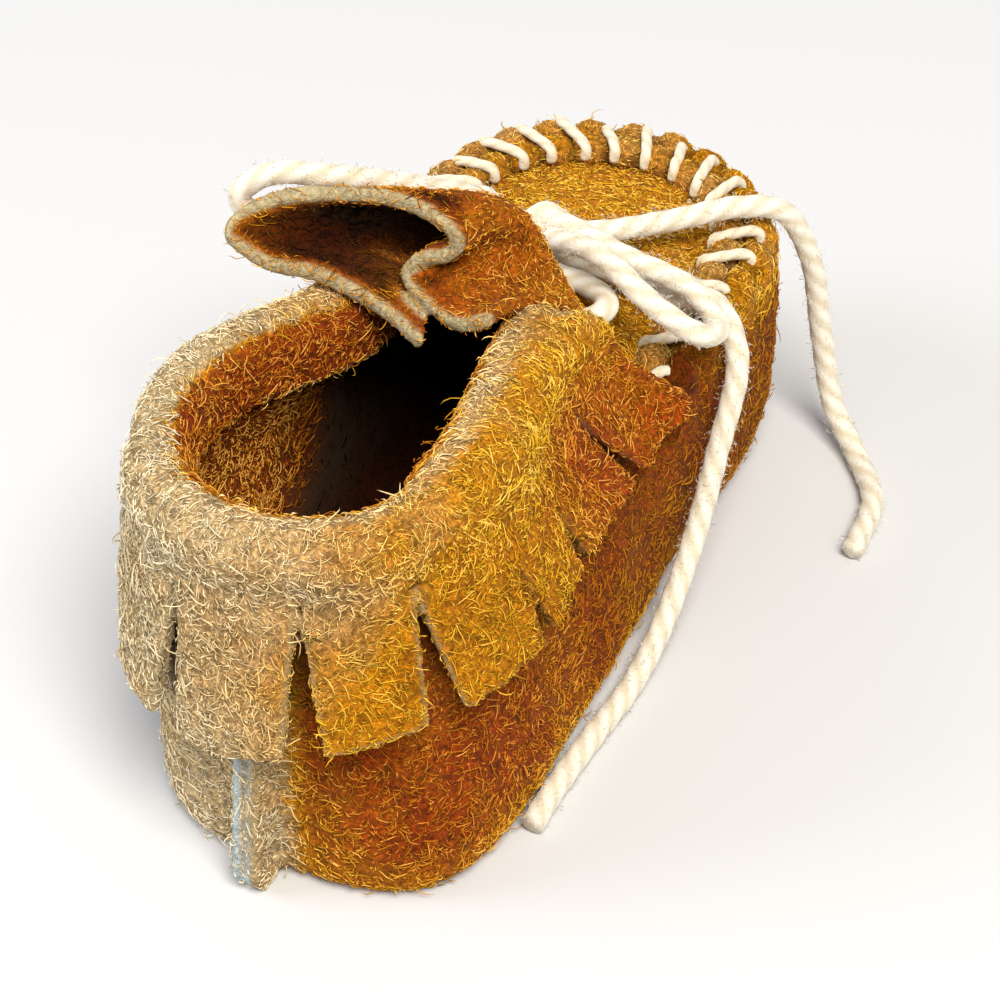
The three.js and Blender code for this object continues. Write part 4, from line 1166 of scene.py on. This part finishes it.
def nap_piece(name, ground, tree, weight, sorts, seed):
    """One joined mesh of several sorts of fibre on a leather piece."""
    suede = bpy.context.scene.bootie_suede
    thick = suede.nap_thick / MM
    gold, inside_and_painted_shade = marks(ground, "gold"), marks(ground, "inside_and_painted_shade")
    parts, base = [], 0
    for k, (count, rings, length, lift, slim, loose) in enumerate(sorts):
        count = max(20, round(count * suede.nap_share))
        points, faces, tone, corners, size = nap_rows(ground, tree, weight, count, rings, length, lift,
                                                      thick * slim, loose, seed + k)
        # the fibres take on the painted shade and painted light of the leather under them
        shade = inside_and_painted_shade[corners].mean(axis=1)
        tone = tone * (1 - shade) - SHADED_HAIR * shade
        tint = gold[corners].mean(axis=1)
        parts.append((points, faces + base, np.repeat(tone, size), np.repeat(tint, size)))
        base += len(points)
    points, faces, tone, gold = (np.concatenate([part[k] for part in parts]) for k in range(4))
    mesh = joined(name, points, faces)
    store(mesh, "tone", tone)
    store(mesh, "gold", gold)
    return show(name, mesh, finish_of("brushed_suede_fibre", nap_material, suede), "suede")


class BOOTIE_OT_fuzz(bpy.types.Operator):
    """Short cotton hairs that stand off the lace and soften its edge"""
    bl_idname = "bootie.fuzz"
    bl_label = "Lace Fuzz"

    def execute(self, context):
        for k, (name, count) in enumerate((("loop_right", 900), ("loop_left", 900), ("end_front", 1300),
                                           ("end_side", 1300), ("knot", 500))):
            ground = bpy.data.objects["lace_" + name + "_cotton"].data
            points, faces, *_ = nap_rows(ground, tree_of(ground), np.ones(len(ground.vertices)), count,
                                         **FUZZ, seed=171 + k)
            mesh = joined("lace_fuzz_" + name, points, faces)
            store(mesh, "high", np.ones(len(points)))
            show("lace_fuzz_" + name, mesh, lace_finish(), "lace")
        return {"FINISHED"}


class BOOTIE_OT_nap(bpy.types.Operator):
    """Brushed fibres on every leather face, short and matted with long curling strays"""
    bl_idname = "bootie.nap"
    bl_label = "Suede Nap"

    def execute(self, context):
        far = context.scene.bootie_suede.nap_long / MM

        def sorts(short, curly):
            # count, rings, length, lift, thickness and loose share of the matted and the curling fibres
            return ((short, 1, (0.8, 2.0), 0.2, 1.0, 0.07), (curly, 3, (1.6, far), 0.34, 0.95, 0.09))

        bottom = bpy.data.objects["moccasin_bottom_suede"].data
        tree = tree_of(bottom)
        co, normals = points_of(bottom)
        sole = ease(-0.75, -0.9, normals[:, 2]) * (co[:, 2] < 3 * MM)
        weight = (1 - marks(bottom, "bare")) * (1 - 0.8 * marks(bottom, "raw")) * (1 - sole) + HARDLY
        back = co[:, 1] < NAP_PART_Y * MM
        nap_piece("nap_heel", bottom, tree, weight * back, sorts(12500, 3700), 101)
        nap_piece("nap_toe", bottom, tree, weight * ~back, sorts(10500, 2500), 111)

        cuff = bpy.data.objects["cuff_suede"].data
        tree = tree_of(cuff)
        co, _ = points_of(cuff)
        weight = (1 - BARE["tucked"] * marks(cuff, "bare")) * (1 - 0.6 * marks(cuff, "raw")) + HARDLY
        left = co[:, 0] < NAP_PART_X * MM
        nap_piece("nap_cuff_left", cuff, tree, weight * left, sorts(10500, 3200), 121)
        nap_piece("nap_cuff_right", cuff, tree, weight * ~left, sorts(10800, 3400), 131)

        for name, piece, short, curly, seed in (("nap_vamp", "vamp_suede", 5000, 900, 141),
                                                ("nap_vamp_edge", "vamp_edge_suede", 2600, 200, 161),
                                                ("nap_tongue", "tongue_suede", 4600, 900, 151)):
            mesh = bpy.data.objects[piece].data
            _, normals = points_of(mesh)
            weight = (1 - 0.6 * marks(mesh, "raw")) + HARDLY
            if piece == "vamp_suede":
                weight *= ease(-0.2, 0.3, normals[:, 2]) + 0.02
            nap_piece(name, mesh, tree_of(mesh), weight, sorts(short, curly), seed)
        return {"FINISHED"}


# Stage

class BOOTIE_OT_stage(bpy.types.Operator):
    """Camera, pale floor and soft studio light"""
    bl_idname = "bootie.stage"
    bl_label = "Stage"

    def execute(self, context):
        stage = context.scene.bootie_stage
        scene = context.scene
        camera = bpy.data.objects.new("camera", bpy.data.cameras.new("camera"))
        scene.collection.objects.link(camera)
        place, aim = Vector(stage.camera), Vector(stage.aim)
        camera.location = place
        camera.rotation_euler = (aim - place).to_track_quat("-Z", "Y").to_euler()
        camera.data.lens = stage.lens
        camera.data.sensor_width = 36.0
        camera.data.sensor_fit = "HORIZONTAL"
        camera.data.clip_start = 0.01
        scene.camera = camera

        for name, at, to, size, power, tint in (
            ("key", (0.42, -0.45, 1.02), (0, 0, 0.02), 0.6, stage.key, "#fffaf0"),
            ("fill", (-0.80, -0.45, 0.60), (0, 0, 0.03), 0.6, stage.fill, "#eaf2ff"),
        ):
            light = bpy.data.lights.new(name, "AREA")
            light.shape = "DISK"
            light.size = size
            light.energy = power
            light.color = linear(tint)[:3]
            lamp = bpy.data.objects.new(name, light)
            scene.collection.objects.link(lamp)
            lamp.location = at
            lamp.rotation_euler = (Vector(to) - Vector(at)).to_track_quat("-Z", "Y").to_euler()

        world = bpy.data.worlds.new("even_surround")
        world.use_nodes = True
        world.node_tree.nodes["Background"].inputs["Color"].default_value = linear("#fbfcff")
        world.node_tree.nodes["Background"].inputs["Strength"].default_value = stage.sky
        scene.world = world
        scene.view_settings.view_transform = "Standard"

        bm = bmesh.new()
        bmesh.ops.create_grid(bm, x_segments=8, y_segments=8, size=FLOOR_HALF)
        bmesh.ops.translate(bm, verts=bm.verts[:], vec=(0, 0, -FLOOR_BELOW * MM))
        floor = bpy.data.objects.new("paper_floor", finished(bm, "paper_floor"))
        floor.data.materials.append(floor_material(stage.ground))
        scene.collection.objects.link(floor)
        return {"FINISHED"}


STEPS = (BOOTIE_OT_stage, BOOTIE_OT_knot, BOOTIE_OT_lace, BOOTIE_OT_bottom, BOOTIE_OT_vamp,
         BOOTIE_OT_tongue, BOOTIE_OT_cuff, BOOTIE_OT_rim, BOOTIE_OT_stitches, BOOTIE_OT_nap,
         BOOTIE_OT_fuzz)
SETTINGS = (("bootie_suede", SuedeSettings), ("bootie_lace", LaceSettings),
            ("bootie_stitch", StitchSettings), ("bootie_stage", StageSettings))


class BOOTIE_PT_sidebar(bpy.types.Panel):
    """Settings and steps of the bootie"""
    bl_label = "Moccasin Bootie"
    bl_idname = "BOOTIE_PT_sidebar"
    bl_space_type = "VIEW_3D"
    bl_region_type = "UI"
    bl_category = "Bootie"

    def draw(self, context):
        for name, kind in SETTINGS:
            box = self.layout.box()
            for key in kind.__annotations__:
                box.prop(getattr(context.scene, name), key)
        for step in STEPS:
            self.layout.operator(step.bl_idname)


def register():
    for kind in (*(kind for _, kind in SETTINGS), *STEPS, BOOTIE_PT_sidebar):
        bpy.utils.register_class(kind)
    for name, kind in SETTINGS:
        setattr(bpy.types.Scene, name, PointerProperty(type=kind))


def unregister():
    for name, _ in SETTINGS:
        delattr(bpy.types.Scene, name)
    for kind in reversed((*(kind for _, kind in SETTINGS), *STEPS, BOOTIE_PT_sidebar)):
        bpy.utils.unregister_class(kind)


def main():
    register()
    bpy.ops.bootie.stage()
    bpy.ops.bootie.knot()
    bpy.ops.bootie.lace()
    bpy.ops.bootie.bottom()
    bpy.ops.bootie.vamp()
    bpy.ops.bootie.tongue()
    bpy.ops.bootie.cuff()
    bpy.ops.bootie.rim()
    bpy.ops.bootie.stitches()
    bpy.ops.bootie.nap()
    bpy.ops.bootie.fuzz()


if __name__ == "__main__":
    main()
